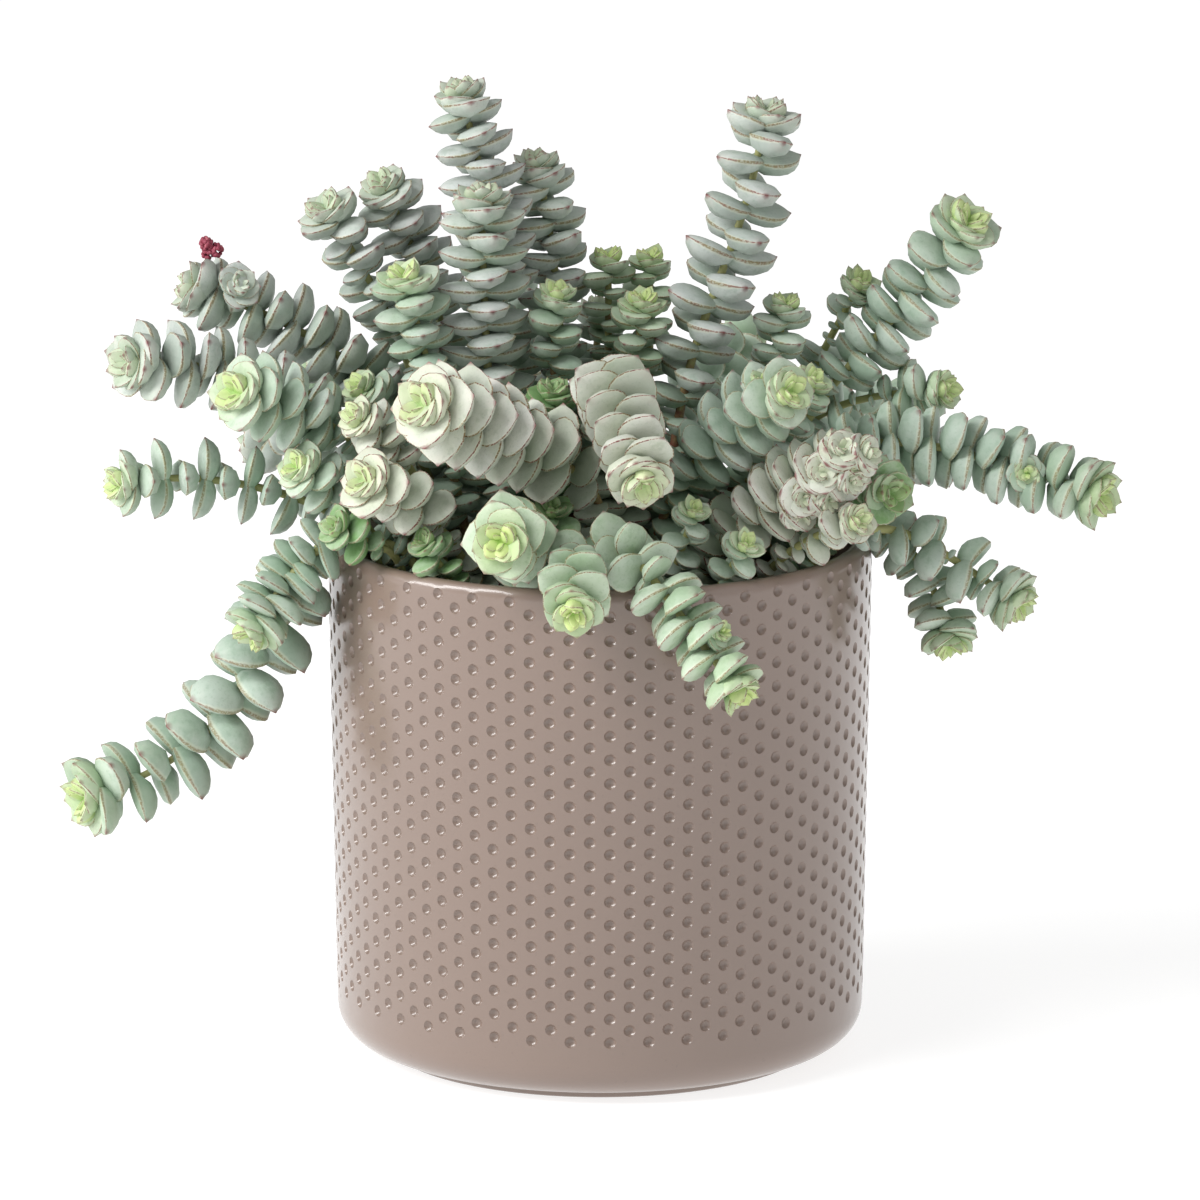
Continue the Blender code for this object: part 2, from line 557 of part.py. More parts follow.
def band(lower, upper, start, following):
    """Triangles between two rings of four or eight points, facing out."""
    faces = []
    if lower == upper:
        for k in range(lower):
            a = start + k
            b = start + (k + 1) % lower
            c = following + k
            d = following + (k + 1) % lower
            faces += [(a, b, d), (a, d, c)]
        return faces
    wide_start, narrow_start = (start, following) if lower > upper else (following, start)
    wide = 2 * CORE_SIDES
    for k in range(CORE_SIDES):
        corner = narrow_start + k
        next_corner = narrow_start + (k + 1) % CORE_SIDES
        first, middle, last = (wide_start + (2 * k + i) % wide for i in range(3))
        if lower > upper:
            faces += [(first, middle, corner), (middle, last, corner), (last, next_corner, corner)]
        else:
            faces += [(corner, middle, first), (corner, last, middle), (corner, next_corner, last)]
    return faces


def skin(rings, owners, bud_height, ahead):
    """Triangles over the rings, closed at each end. Each face is listed with the pair it belongs to."""
    points = [point for ring in rings for point in ring]
    starts = [0]
    for ring in rings:
        starts.append(starts[-1] + len(ring))
    faces = [(0, 2, 1), (0, 3, 2)]
    of_pair = [None, None]
    for r in range(len(rings) - 1):
        made = band(len(rings[r]), len(rings[r + 1]), starts[r], starts[r + 1])
        owner = owners[r] if owners[r] is not None else owners[r + 1]
        faces += made
        of_pair += [owner] * len(made)
    points.append(sum(rings[-1], Vector()) / len(rings[-1]) + ahead * bud_height)
    for k in range(CORE_SIDES):
        faces.append((starts[-2] + k, starts[-2] + (k + 1) % CORE_SIDES, len(points) - 1))
        of_pair.append(None)
    return points, faces, of_pair


def stem_solid(stem, frames, lengths, pairs, roll, extra=0.0):
    rings, owners = stem_rings(stem, frames, lengths, pairs, roll, extra)
    return skin(rings, owners, TIP_BUD, frames[-1][1])


def core_tube(frames, lengths, extra):
    """The bare core of a stem, for the leaves of other stems to keep clear of."""
    count = max(2, round(lengths[-1] / CORE_TUBE_STEP))
    rings = []
    for i in range(count + 1):
        centre, _, side, other = frame_at(frames, lengths, lengths[-1] * i / count)
        rings.append([centre + side * x + other * y for x, y in core_outline(CORE_RADIUS + extra)])
    points, faces, _ = skin(rings, [None] * len(rings), TIP_BUD, frames[-1][1])
    return points, faces


def crossed_pairs(points, faces, of_pair, obstacles):
    """Which pairs of a stem cross something else, or other parts of their own stem."""
    tree = BVHTree.FromPolygons(points, faces)
    crossed = set()
    for obstacle in obstacles:
        for mine, _ in tree.overlap(obstacle):
            crossed.add(of_pair[mine])
    for mine, other in tree.overlap(tree):
        if not set(faces[mine]) & set(faces[other]):
            owners = {of_pair[mine], of_pair[other]} - {None}
            if owners:
                crossed.add(max(owners))
    return crossed - {None}


def fit_stem(stem, frames, lengths, roll, draw, obstacles):
    """Shortens the leaves that would cross a neighbour until the stem stands clear."""
    pairs = stem_pairs(stem, lengths[-1], draw)
    for _ in range(FITTING_ROUNDS):
        points, faces, of_pair = stem_solid(stem, frames, lengths, pairs, roll, GAP)
        crossed = crossed_pairs(points, faces, of_pair, obstacles)
        if not crossed:
            break
        pairs = [pair._replace(reach=pair.reach * SHRINK) if i in crossed else pair
                 for i, pair in enumerate(pairs)]
    return pairs


def evaluated_tree(obj):
    """A tree of an object's evaluated surface, in millimetres."""
    bpy.context.view_layer.update()
    seen = obj.evaluated_get(bpy.context.evaluated_depsgraph_get())
    mesh = seen.to_mesh()
    points = [obj.matrix_world @ vertex.co / MM for vertex in mesh.vertices]
    faces = [tuple(polygon.vertices) for polygon in mesh.polygons]
    seen.to_mesh_clear()
    return BVHTree.FromPolygons(points, faces)


def stem_lines():
    """The middle line of every stem, eased apart, with its buried end straight down in its hole."""
    lines = ease_apart([curve_through([Vector(point) for point in stem.route], ROUTE_STEP) for stem in STEMS])
    finished = []
    for line in lines:
        foot = Vector((line[0].x, line[0].y, SOIL_TOP - HOLE_DEPTH + GAP))
        soil_level = Vector((line[0].x, line[0].y, SOIL_TOP + STRAIGHT_ABOVE_SOIL))
        finished.append([foot, soil_level] + line[1:])
    return finished


def make_stems(collection, solids):
    lines = stem_lines()
    measured = []
    for line in lines:
        frames = frames_along(line)
        lengths = [0.0]
        for a, b in zip(line, line[1:]):
            lengths.append(lengths[-1] + (b - a).length)
        measured.append((frames, lengths))
    cores = []
    for frames, lengths in measured:
        cores.append(BVHTree.FromPolygons(*core_tube(frames, lengths, GAP)))
    placed = []
    bud_seat = None
    for index, stem in enumerate(STEMS):
        frames, lengths = measured[index]
        draw = random.Random(SEED * 1000 + index)
        roll = roll_to_front(stem, frames, lengths, draw)
        others = [core for k, core in enumerate(cores) if k != index]
        pairs = fit_stem(stem, frames, lengths, roll, draw, solids + others + placed)
        points, faces, _ = stem_solid(stem, frames, lengths, pairs, roll)
        placed.append(BVHTree.FromPolygons(points, faces))
        if stem.name == BUDDED_STEM:
            bud_seat = leaf_tip_near(points, Vector(BUD_PLACE))
        obj = add_object(stem.name, mesh_from(stem.name, points, faces), collection, stem.colour, 0.55)
        obj.data.shade_flat()
    return [line[0] for line in lines], bud_seat


def leaf_tip_near(points, place):
    """The point of a stem's surface that lies nearest to a place."""
    return min(points, key=lambda point: (point - place).length)


def make_buds(collection, seat):
    """A small head of red buds, joined to each other and seated just off a leaf's tip."""
    gather = bpy.data.collections.new("bud_parts")
    bpy.context.scene.collection.children.link(gather)
    head = None
    for x, y, z, radius in BUDS:
        spot = seat + Vector((x, y, z))
        bpy.ops.mesh.primitive_ico_sphere_add(subdivisions=1, radius=radius * MM, location=spot * MM)
        bud = bpy.context.object
        for holder in list(bud.users_collection):
            holder.objects.unlink(bud)
        if head is None:
            head = bud
            collection.objects.link(head)
        else:
            gather.objects.link(bud)
    join = head.modifiers.new("join", "BOOLEAN")
    join.operation = "UNION"
    join.operand_type = "COLLECTION"
    join.collection = gather
    join.solver = "EXACT"
    bpy.context.view_layer.objects.active = head
    bpy.ops.object.modifier_apply(modifier=join.name)
    for bud in list(gather.objects):
        bpy.data.objects.remove(bud, do_unlink=True)
    bpy.data.collections.remove(gather)
    head.name = "flower_buds"
    head.data.materials.append(finish(head.name, BUD_COLOUR, 0.6))


def main():
    clear_scene()
    collection = make_collection(COLLECTION_NAME)
    cutters = make_collection("cutters", cutters=True)
    pot = turned("pot", pot_profile(), collection, GLAZE, 0.35)
    soil = turned("soil", soil_profile(), collection, SOIL_COLOUR, 0.95)
    solids = [evaluated_tree(pot)]
    roots, bud_seat = make_stems(collection, solids)
    make_holes(soil, roots, cutters)
    make_buds(collection, bud_seat)


main()
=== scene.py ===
"""Looks of the potted jade necklace: waxy stacked leaves, crimson buds, soil and a dimpled pot.

Laid out as an add-on: each piece has an operator, and its sizes and colours are scene properties.
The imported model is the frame. Lengths are worked out in millimetres, and the meshes are in metres.
"""

import json
import math
import random
from collections import namedtuple

import bmesh
import bpy
import numpy as np
from bpy.props import FloatProperty, FloatVectorProperty, IntProperty, PointerProperty
from bpy.types import Operator, Panel, PropertyGroup
from mathutils import Matrix, Quaternion, Vector, kdtree


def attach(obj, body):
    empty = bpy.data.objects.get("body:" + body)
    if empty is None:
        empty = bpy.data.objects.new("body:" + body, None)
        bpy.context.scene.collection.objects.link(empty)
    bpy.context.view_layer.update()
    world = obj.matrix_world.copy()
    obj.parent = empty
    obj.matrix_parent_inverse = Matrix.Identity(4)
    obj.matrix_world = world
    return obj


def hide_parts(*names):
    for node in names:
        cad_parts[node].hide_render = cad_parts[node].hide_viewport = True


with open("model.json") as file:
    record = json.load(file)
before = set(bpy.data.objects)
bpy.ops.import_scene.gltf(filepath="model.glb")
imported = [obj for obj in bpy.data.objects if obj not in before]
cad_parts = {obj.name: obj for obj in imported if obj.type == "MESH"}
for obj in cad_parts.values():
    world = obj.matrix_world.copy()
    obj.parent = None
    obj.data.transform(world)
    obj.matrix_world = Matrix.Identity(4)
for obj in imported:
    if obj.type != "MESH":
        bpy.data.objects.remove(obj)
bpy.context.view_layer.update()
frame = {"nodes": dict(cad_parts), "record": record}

bl_info = {
    "name": "Potted jade necklace",
    "version": (1, 0, 0),
    "blender": (4, 5, 0),
    "location": "3D View > Sidebar > Jade",
    "description": "Models and finishes a jade necklace plant in a dimpled pot on its packed solids",
    "category": "Object",
}

MM = 0.001
SEED = 11
# What a stem draws its random numbers for, each use with draws of its own
PLACING, DRESSING, FILLING, TONING = 1, 2, 3, 4

# Pot, in millimetres
POT_HEIGHT = 125.5
RIM_RADIUS = 65.0
BASE_RADIUS = 63.2
WALL = 5.0
BASE_CORNER = 8.5
FOOT_RADIUS = 53.0
FOOT_HEIGHT = 2.2
FOOT_TAPER = 0.6
TAPER_AT_SOLE = 0.7
FLOOR_THICKNESS = 8.0
INNER_CORNER = 5.0
OUTER_LIP = 1.75
# How far round the lip the wall of dimples reaches, in degrees
WALL_ON_LIP = 54
TOP_ROW = 122.3
WALL_START = 12.4
ROW_STEP = 2.86
LATTICE_RADIUS = 64.1
INNER_WALL_HEIGHTS = (112.0, 100.0, 60.0)
CENTRE_RING = 20.0
FOOT_ROUNDING = 0.35
SOLE_ROUNDING = 0.4
WELD = 0.02

# A dimple's steps inwards: shares of its radius and of its depth, and then the poke in its middle
DIMPLE_SIDES = 12
DIMPLE_STEPS = ((0.17, 0.40), (0.31, 0.42))
DIMPLE_POKE = 0.18
FLAT = 0.01

# Soil
SOIL_TOP = 112.0
SOIL_SHOULDER = 0.8
SOIL_DROP_AT_SHOULDER = 0.4
SOIL_DROP_AT_WALL = 2.0
HOLE_DEPTH = 6.0
STRAIGHT_ABOVE_SOIL = 1.0
GAP = 0.3
SOIL_SIDES = 128
SOIL_RINGS = 30
SOIL_SIDE_TOP = 106.0
SOIL_SINK = 0.5
LUMP_SIZE = 5.0
LUMP_HEIGHT = 2.2
SMALLEST_CRUMB = 0.45
CRUMB_SPREAD = 1.3
CRUMB_SKEW = 2.5
CRUMB_UNEVEN = 0.35
CRUMB_SIDES = (0.7, 1.2)
CRUMB_LIFT = 0.25
CRUMB_SHOWING = 0.3
CRUMBS_OFF_WALL = 2.0

# Buds
BUD_SIZE = (0.42, 0.66)
BUD_STRETCH = (1.0, 1.35)
BUD_LEAN = 0.5
BUD_UNEVEN = 0.12
ANY_TURN = (0, 6.2)

# Stems and leaves, placed by the rule that places the solids' leaves
CORE_RADIUS = 1.45
CURVE_STEPS = 24
ROUTE_STEP = 3.0
CORE_CLEARANCE = 3.6
ROOT_CLEARANCE = 5.4
WALL_CLEARANCE = 1.4
ROOT_ZONE = 4.0
EASING_ROUNDS = 60
EASING_SMOOTH = 0.25
UPWARD_SHARE = 0.3
SMALL_TIP_REACH = 8.0
SHRINK = 0.87
FITTING_ROUNDS = 22
TIP_TOLERANCE = 0.06
LOW_REACH = 0.86
FULL_REACH = 0.18
REACH_SPREAD = (0.94, 1.05)
RISE_SPREAD = (0.02, 0.16)
FACING_SPREAD = 10.0
SWELL_START = 0.25
SWELL_SPAN = 0.6
TIP_PAIRS = ((0.84, 0.28, 2.4), (0.62, 0.45, 1.8), (0.42, 0.75, 1.4))
SMALL_TIP_PAIRS = ((0.80, 0.33, 2.3), (0.50, 0.7, 1.9))

# Half a leaf's width, for a reach of one
NARROW = 0.41
OVAL = 0.45
BROAD = 0.52

Stem = namedtuple("Stem", "name reach width spacing leafy facing route")

# Each route runs from the soil to the tip: x to the right, y away from the front, z up.
# reach is from the stem to a leaf's tip, width is half a leaf's width for a reach of one,
# spacing is between pairs, leafy is the length that bears leaves, and facing is the angle in
# degrees between the pairs and the view from the front.
STEMS = (
    Stem("stem_dense_front", 10.6, BROAD, 3.4, 37, 45,
         ((6, -16, 112), (3, -21, 146), (1, -30, 167), (3, -44, 171), (6, -58, 162),
          (10, -71, 153))),
    Stem("stem_dense_left", 12.4, BROAD, 3.6, 43, 45,
         ((-2, -22, 112), (3, -27, 138), (-6, -33, 149), (-18, -43, 156), (-31, -54, 164),
          (-41, -66, 170))),
    Stem("stem_trailing_front", 9.8, BROAD, 4.8, 50, 45,
         ((2, -36, 112), (1, -46, 130), (3, -57, 138), (9, -68, 134), (16, -74, 126),
          (21, -77, 119), (27, -79, 112), (32, -84, 106))),
    Stem("stem_over_rim_front", 9.4, BROAD, 3.4, 14, 45,
         ((-4, -40, 112), (-4, -50, 131), (-5, -62, 137), (-6, -72, 131), (-6, -77, 127),
          (-6, -83, 125))),
    Stem("stem_on_rim_front", 11.0, BROAD, 3.4, 14, 45,
         ((-12, -34, 112), (-16, -45, 132), (-20, -58, 139), (-23, -71, 139))),
    Stem("stem_tall_left", 10.8, OVAL, 4.0, 48, 12,
         ((-20, -5, 112), (-25, -8, 145), (-27, -10, 175), (-28, -10, 208))),
    Stem("stem_tall_left_back", 10.2, OVAL, 4.1, 45, 12,
         ((-16, 12, 112), (-20, 12, 150), (-25, 10, 196), (-29, 10, 214), (-33, 9, 230))),
    Stem("stem_tall_right", 11.2, OVAL, 6.0, 68, 28,
         ((14, 2, 112), (18, 1, 150), (23, 0, 173), (32, 0, 196), (37, -1, 212), (39, -2, 227))),
    Stem("stem_trailing_left", 12.8, OVAL, 6.4, 92, 42,
         ((-46, -14, 112), (-57, -16, 131), (-66, -17, 129), (-72, -16, 118), (-77, -15, 107),
          (-84, -13, 92), (-91, -12, 80), (-99, -12, 73), (-110, -12, 67), (-122, -20, 65))),
    Stem("stem_hanging_rosette_left", 9.8, OVAL, 3.4, 12, 45,
         ((-38, -32, 112), (-51, -32, 133), (-62, -31, 134), (-72, -29, 124), (-79, -30, 113),
          (-82, -36, 109))),
    Stem("stem_long_right", 11.2, OVAL, 4.6, 62, 40,
         ((36, -4, 112), (50, -5, 143), (63, -5, 150), (83, -5, 147), (103, -6, 141),
          (118, -15, 138))),
    Stem("stem_tall_far_right", 11.2, OVAL, 4.8, 49, 36,
         ((36, 12, 112), (48, 11, 150), (60, 10, 164), (72, 10, 177), (82, 9, 191), (87, 2, 200))),
    Stem("stem_budded_left", 11.0, OVAL, 5.0, 50, 36,
         ((-38, 4, 112), (-46, 5, 150), (-62, 5, 168), (-80, 5, 178), (-97, 4, 184))),
    Stem("stem_upper_left", 11.4, OVAL, 4.6, 37, 36,
         ((-42, -4, 112), (-56, -5, 152), (-80, -6, 165), (-101, -8, 168), (-111, -17, 170))),
    Stem("stem_rosette_left", 11.0, OVAL, 4.0, 26, 45,
         ((-40, -16, 112), (-50, -22, 146), (-65, -24, 158), (-78, -27, 164), (-85, -37, 167))),
    Stem("stem_thin_left", 9.4, NARROW, 5.2, 46, 10,
         ((-48, -4, 112), (-60, -5, 131), (-75, -5, 136), (-99, -6, 141), (-114, -13, 140))),
    Stem("stem_rosette_right", 10.2, OVAL, 4.0, 35, 45,
         ((10, -16, 112), (15, -22, 138), (24, -28, 151), (36, -34, 163), (42, -40, 168),
          (44, -46, 169))),
    Stem("stem_crested_right", 10.8, BROAD, 3.2, 27, 45,
         ((22, -26, 112), (29, -34, 134), (40, -40, 141), (50, -44, 148), (58, -48, 154))),
    Stem("stem_crested_right_low", 8.0, OVAL, 3.2, 8, 45,
         ((32, -26, 112), (44, -38, 130), (54, -48, 137), (60, -54, 140))),
    Stem("stem_green_rosette_right", 9.6, OVAL, 3.4, 10, 45,
         ((42, -12, 112), (53, -20, 134), (62, -26, 142), (67, -33, 143), (68, -38, 143))),
    Stem("stem_drooping_right", 9.4, OVAL, 5.0, 40, 30,
         ((47, -16, 112), (57, -14, 133), (69, -10, 131), (76, -10, 123), (81, -10, 114),
          (82, -12, 108), (83, -18, 102))),
    Stem("stem_drooping_far_right", 10.0, OVAL, 4.8, 26, 36,
         ((46, -27, 112), (57, -27, 134), (70, -23, 133), (80, -18, 125), (90, -15, 118),
          (99, -22, 113))),
    Stem("stem_lime_top_left", 9.8, OVAL, 3.9, 28, 20,
         ((-29, -8, 112), (-38, -13, 158), (-43, -15, 178), (-46, -19, 191))),
    Stem("stem_back_left_right", 9.8, OVAL, 4.2, 29, 30,
         ((-22, 24, 112), (-36, 25, 165), (-46, 24, 193), (-52, 18, 206))),
    Stem("stem_back_left", 10.2, OVAL, 4.4, 31, 30,
         ((-32, 14, 112), (-46, 15, 165), (-58, 14, 189), (-65, 8, 202))),
    Stem("stem_upright_centre", 10.0, OVAL, 4.4, 31, 32,
         ((-6, 16, 112), (-9, 19, 160), (-11, 20, 190), (-15, 19, 211))),
    Stem("stem_small_rosette_left", 8.2, OVAL, 3.4, 12, 45,
         ((-34, -26, 112), (-43, -33, 148), (-51, -36, 160), (-57, -41, 162))),
    Stem("stem_rosette_low_left", 10.2, OVAL, 3.8, 22, 45,
         ((-26, -24, 112), (-35, -33, 132), (-43, -40, 142), (-51, -46, 147), (-55, -52, 149))),
    Stem("stem_rosette_far_left", 8.4, OVAL, 3.6, 10, 45,
         ((-44, -20, 112), (-58, -28, 139), (-67, -32, 146), (-71, -37, 149))),
    Stem("stem_small_green_left", 7.0, OVAL, 3.2, 5, 45,
         ((-42, -30, 112), (-54, -37, 131), (-62, -43, 136))),
    Stem("stem_mid_right", 9.4, OVAL, 4.4, 26, 40,
         ((34, 14, 112), (44, 14, 147), (60, 14, 155), (73, 12, 157), (82, 5, 159))),
    Stem("stem_behind_far_right", 8.4, OVAL, 3.8, 18, 40,
         ((34, 22, 112), (48, 21, 155), (57, 20, 171), (62, 14, 183))),
    Stem("stem_centre_small", 8.0, OVAL, 3.8, 14, 45,
         ((-8, -4, 112), (-11, -5, 155), (-11, -6, 176), (-10, -9, 185))),
    Stem("stem_centre_right_small", 8.0, OVAL, 3.8, 14, 45,
         ((6, 6, 112), (8, 1, 155), (9, 0, 172), (10, -3, 182))),
    Stem("stem_back_small_left", 7.6, OVAL, 3.8, 14, 45,
         ((1, 20, 112), (2, 20, 160), (2, 19, 188))),
    Stem("stem_back_small_right", 7.4, OVAL, 3.8, 12, 45,
         ((10, 28, 112), (12, 26, 160), (12, 24, 187))),
    Stem("stem_right_small_tips", 7.8, OVAL, 3.6, 14, 45,
         ((24, 10, 112), (37, 6, 150), (43, 5, 168), (44, 3, 180))),
    Stem("stem_right_inner", 8.6, OVAL, 4.2, 20, 45,
         ((26, -10, 112), (36, -14, 145), (46, -16, 160), (50, -20, 166))),
    Stem("stem_centre_shade", 8.4, OVAL, 4.2, 20, 45,
         ((-12, -14, 112), (-13, -18, 145), (-11, -22, 164))),
    Stem("stem_centre_front", 7.0, OVAL, 4.2, 10, 45,
         ((-12, -26, 112), (-12, -35, 128), (-11, -42, 140))),
    Stem("stem_sprout_front", 6.2, OVAL, 4.4, 18, 45,
         ((14, -32, 112), (19, -42, 130), (22, -48, 141))),
    Stem("stem_rim_front_right", 6.8, OVAL, 4.2, 11, 45,
         ((24, -40, 112), (29, -48, 127), (34, -53, 134))),
    Stem("stem_rim_front_left", 6.8, OVAL, 4.2, 8, 45,
         ((-30, -38, 112), (-36, -44, 126), (-41, -47, 133))),
    Stem("stem_inner_left", 8.0, OVAL, 4.4, 12, 45,
         ((-32, 4, 112), (-42, -4, 145), (-52, -8, 158), (-57, -12, 163))),
    Stem("stem_rear_upright", 8.6, OVAL, 5.0, 20, 45,
         ((0, 30, 112), (-2, 35, 146), (0, 40, 172))),
    Stem("stem_rear_left_high", 8.8, OVAL, 5.0, 30, 45,
         ((-10, 34, 112), (-14, 44, 148), (-20, 54, 166), (-24, 62, 178))),
    Stem("stem_rear_right_high", 8.8, OVAL, 5.0, 30, 45,
         ((14, 40, 112), (20, 50, 142), (28, 64, 154), (36, 78, 158))),
    Stem("stem_rear_right", 8.8, OVAL, 5.0, 30, 45,
         ((26, 34, 112), (40, 46, 138), (58, 62, 144), (76, 76, 140))),
    Stem("stem_rear_left", 8.8, OVAL, 5.0, 30, 45,
         ((-28, 34, 112), (-40, 48, 140), (-56, 62, 150), (-71, 74, 149))),
    Stem("stem_rear_trailing_left", 8.8, OVAL, 5.6, 40, 45,
         ((-14, 46, 112), (-18, 56, 131), (-22, 68, 137), (-26, 80, 128), (-29, 86, 112),
          (-32, 91, 97))),
    Stem("stem_rear_trailing_right", 8.4, OVAL, 5.2, 26, 45,
         ((6, 48, 112), (8, 58, 131), (10, 70, 136), (13, 81, 127), (14, 88, 114))),
    Stem("stem_right_rear", 8.2, OVAL, 5.0, 25, 45,
         ((44, 26, 112), (58, 33, 134), (74, 40, 138), (89, 46, 133))),
    Stem("stem_left_rear", 8.2, OVAL, 5.0, 25, 45,
         ((-44, 20, 112), (-58, 30, 135), (-72, 38, 139), (-84, 46, 137))),
    Stem("stem_rear_drooping", 7.8, OVAL, 4.4, 20, 45,
         ((36, 42, 112), (44, 52, 131), (52, 62, 133), (59, 70, 122))),
    Stem("stem_rear_rosette", 8.8, OVAL, 3.8, 12, 45,
         ((-32, 46, 112), (-40, 54, 131), (-48, 62, 137), (-54, 70, 136))),
)

# turned is true for every second pair, a quarter turn from the last
Pair = namedtuple("Pair", "along reach rise turned")

# young and shade run from 0 to 1: a young leaf is limier, and one in shade is painted a deeper green
Leaf = namedtuple("Leaf", "shape centre direction ahead reach rise width thick young shade")

# A leaf's rings from its foot in the stem to its tip: place along it, half width and half thickness
LEAF_RINGS = {
    "oval": ((-0.10, 0.50, 0.40), (0.06, 0.72, 0.68), (0.22, 0.90, 0.92), (0.40, 1.0, 1.0),
             (0.58, 0.97, 0.97), (0.75, 0.78, 0.82), (0.88, 0.48, 0.55), (0.96, 0.19, 0.26)),
    "broad": ((-0.10, 0.48, 0.40), (0.06, 0.68, 0.66), (0.22, 0.87, 0.92), (0.38, 0.99, 1.0),
              (0.56, 0.98, 0.94), (0.74, 0.77, 0.76), (0.88, 0.43, 0.48), (0.96, 0.16, 0.22)),
    "cupped": ((-0.10, 0.50, 0.50), (0.07, 0.72, 0.75), (0.25, 0.93, 0.95), (0.43, 1.0, 1.0),
               (0.61, 0.97, 0.95), (0.78, 0.76, 0.80), (0.90, 0.45, 0.52), (0.97, 0.17, 0.24)),
    "fleshy": ((-0.10, 0.55, 0.50), (0.10, 0.80, 0.80), (0.30, 0.97, 1.0), (0.50, 1.0, 1.0),
               (0.68, 0.92, 0.92), (0.83, 0.70, 0.72), (0.93, 0.42, 0.45), (0.98, 0.20, 0.22)),
}
# How far a leaf's margins curl up towards the stem's tip, for a reach of one
LEAF_CURL = {"oval": 0.03, "broad": 0.09, "cupped": 0.13, "fleshy": 0.05}
LEAF_FOOT = -0.14
LEAF_POINT = 1.03
LEAF_SIDES = 8
# Rings of a leaf that are set wait this far off while the others are picked by their height
OUT_OF_THE_WAY = 10.0
UPPER_SHARE = 0.32
LEAF_THICKNESS = 0.52
TIP_THICKNESS = 0.46
TIP_WIDTH = 0.62
HEART_THICKNESS = 0.80
HEART_WIDTH = 0.60
SPACED_THICKNESS = 1.2
STALK_RADIUS = (1.3, 0.8)
STALK_SHARE_OF_REACH = 0.1
STALK_STEP = 2.5
SIDE_STALK_RADIUS = 0.7
LEAF_ROUNDING = 0.03
LEAF_TWIST = 0.13
LEAF_ROLL = 0.16
EXTRA_RISE = (-0.08, 0.13)
EXTRA_REACH = (0.97, 1.05)
WIDTH_SPREAD = (0.95, 1.05)
THICKNESS_SPREAD = (0.92, 1.06)
THIN_EDGE = 0.02

# How young the leaves look: below the rosette over a few pairs, and in it from foot to heart
PAIRS_BELOW_ROSETTE = 4
YOUNG_BELOW_ROSETTE = 0.12
YOUNG_BETWEEN = (0.1, 0.65)
YOUNG_IN_ROSETTE = (0.15, 0.7)

# What a rosette gets beyond the solid's pairs: share of the stem's reach, rise, step, and swing
# round the stem
HEART_PAIRS = ((0.40, 0.70, 0.4, 0.6), (0.33, 0.95, 0.4, 0.0), (0.25, 1.3, 0.4, 0.5),
               (0.16, 1.9, 0.4, 0.1))
BETWEEN_SWING = 0.75
# Small rosettes on the side of a stem: its name, how far below its tip, which way it looks, its
# stalk and reach, and how limy its young leaves are
SideRosette = namedtuple("SideRosette", "stem below looks stalk reach limy")
SIDE_ROSETTES = (
    SideRosette("stem_long_right", 20.0, (0.1, -1.0, 0.1), 7.0, 5.2, 1.0),
    SideRosette("stem_crested_right", 1.0, (0.9, -0.5, 0.3), 5.5, 5.8, 0.45),
    SideRosette("stem_crested_right", 4.0, (0.2, -0.8, 0.7), 7.0, 6.0, 0.4),
    SideRosette("stem_crested_right", 6.5, (0.8, -0.8, -0.2), 7.5, 5.6, 0.4),
    SideRosette("stem_crested_right", 9.5, (0.1, -1.0, 0.3), 8.0, 6.0, 0.4),
    SideRosette("stem_crested_right", 12.0, (0.6, -0.8, -0.4), 8.0, 5.8, 0.4),
    SideRosette("stem_crested_right", 15.5, (0.2, -1.0, -0.1), 8.0, 5.8, 0.4),
    SideRosette("stem_crested_right", 19.0, (0.4, -0.8, -0.5), 7.5, 5.2, 0.4),
    SideRosette("stem_budded_left", 9.0, (0.35, -0.75, 0.55), 8.0, 6.2, 0.6),
    SideRosette("stem_rosette_right", 14.0, (0.2, -0.5, 0.9), 8.0, 5.0, 1.0),
    SideRosette("stem_trailing_front", 16.0, (0.8, -0.6, 0.4), 6.5, 4.4, 1.0),
)
# A side rosette's pairs: share of its reach, rise, place along its stalk, turn round it in degrees
SIDE_PAIRS = ((1.0, 0.25, -1.6, 0), (0.95, 0.30, -1.2, 50), (0.84, 0.42, -0.6, 90),
              (0.66, 0.6, 0.0, 135), (0.5, 0.85, 0.5, 185), (0.36, 1.2, 0.8, 225),
              (0.22, 1.7, 1.1, 275))
SIDE_REACH_SPREAD = (0.93, 1.05)
SIDE_YOUNG = 1.3
SIDE_CUPPED_ABOVE = 0.5
CREST_LIMY = 0.5
CREST_WIDTH = 0.74
CREST_THICKNESS = 0.58

# Where the plant is darkest, how flat that heart is, its radius, and how deep light reaches in
HEART_OF_MOUND = Vector((0.0, 5.0, 126.0))
HEART_FLATNESS = 0.85
HEART_RADIUS = 22.0
LIT_DEPTH = 34.0

# The leaves that fill a bare stem: how far up they start, how far one may shrink, and how clear it
# stays of the pot, the soil and other stems
FILL_START = 6.0
FILL_REACH = (0.8, 1.0)
FILL_RISE = (0.0, 0.2)
FILL_SPACING = (0.95, 1.2)
# Painted shade added to the leaves that fill in low on a stem
FILL_SHADE = 0.15
FILL_NEARNESS = 2.5
FILL_FOOT = 0.2
SMALLEST_FILL = 0.42
FILL_SHRINK = 0.84
POT_CLEARANCE = 1.0
SOIL_CLEARANCE = 0.8
LEAF_CLEARANCE = 1.3
FILL_CLEARANCE = 1.0

# How strongly a leaf's finish shows its margin's line, its reddening and the lime of young leaves
LEAF_FINISHES = {
    "grey": (0.85, 0.6, 0.32),
    "mint": (0.75, 0.25, 0.85),
    "cream": (1.0, 0.75, 0.65),
    "lime": (0.85, 0.3, 1.0),
    "green": (0.7, 0.2, 0.3),
}

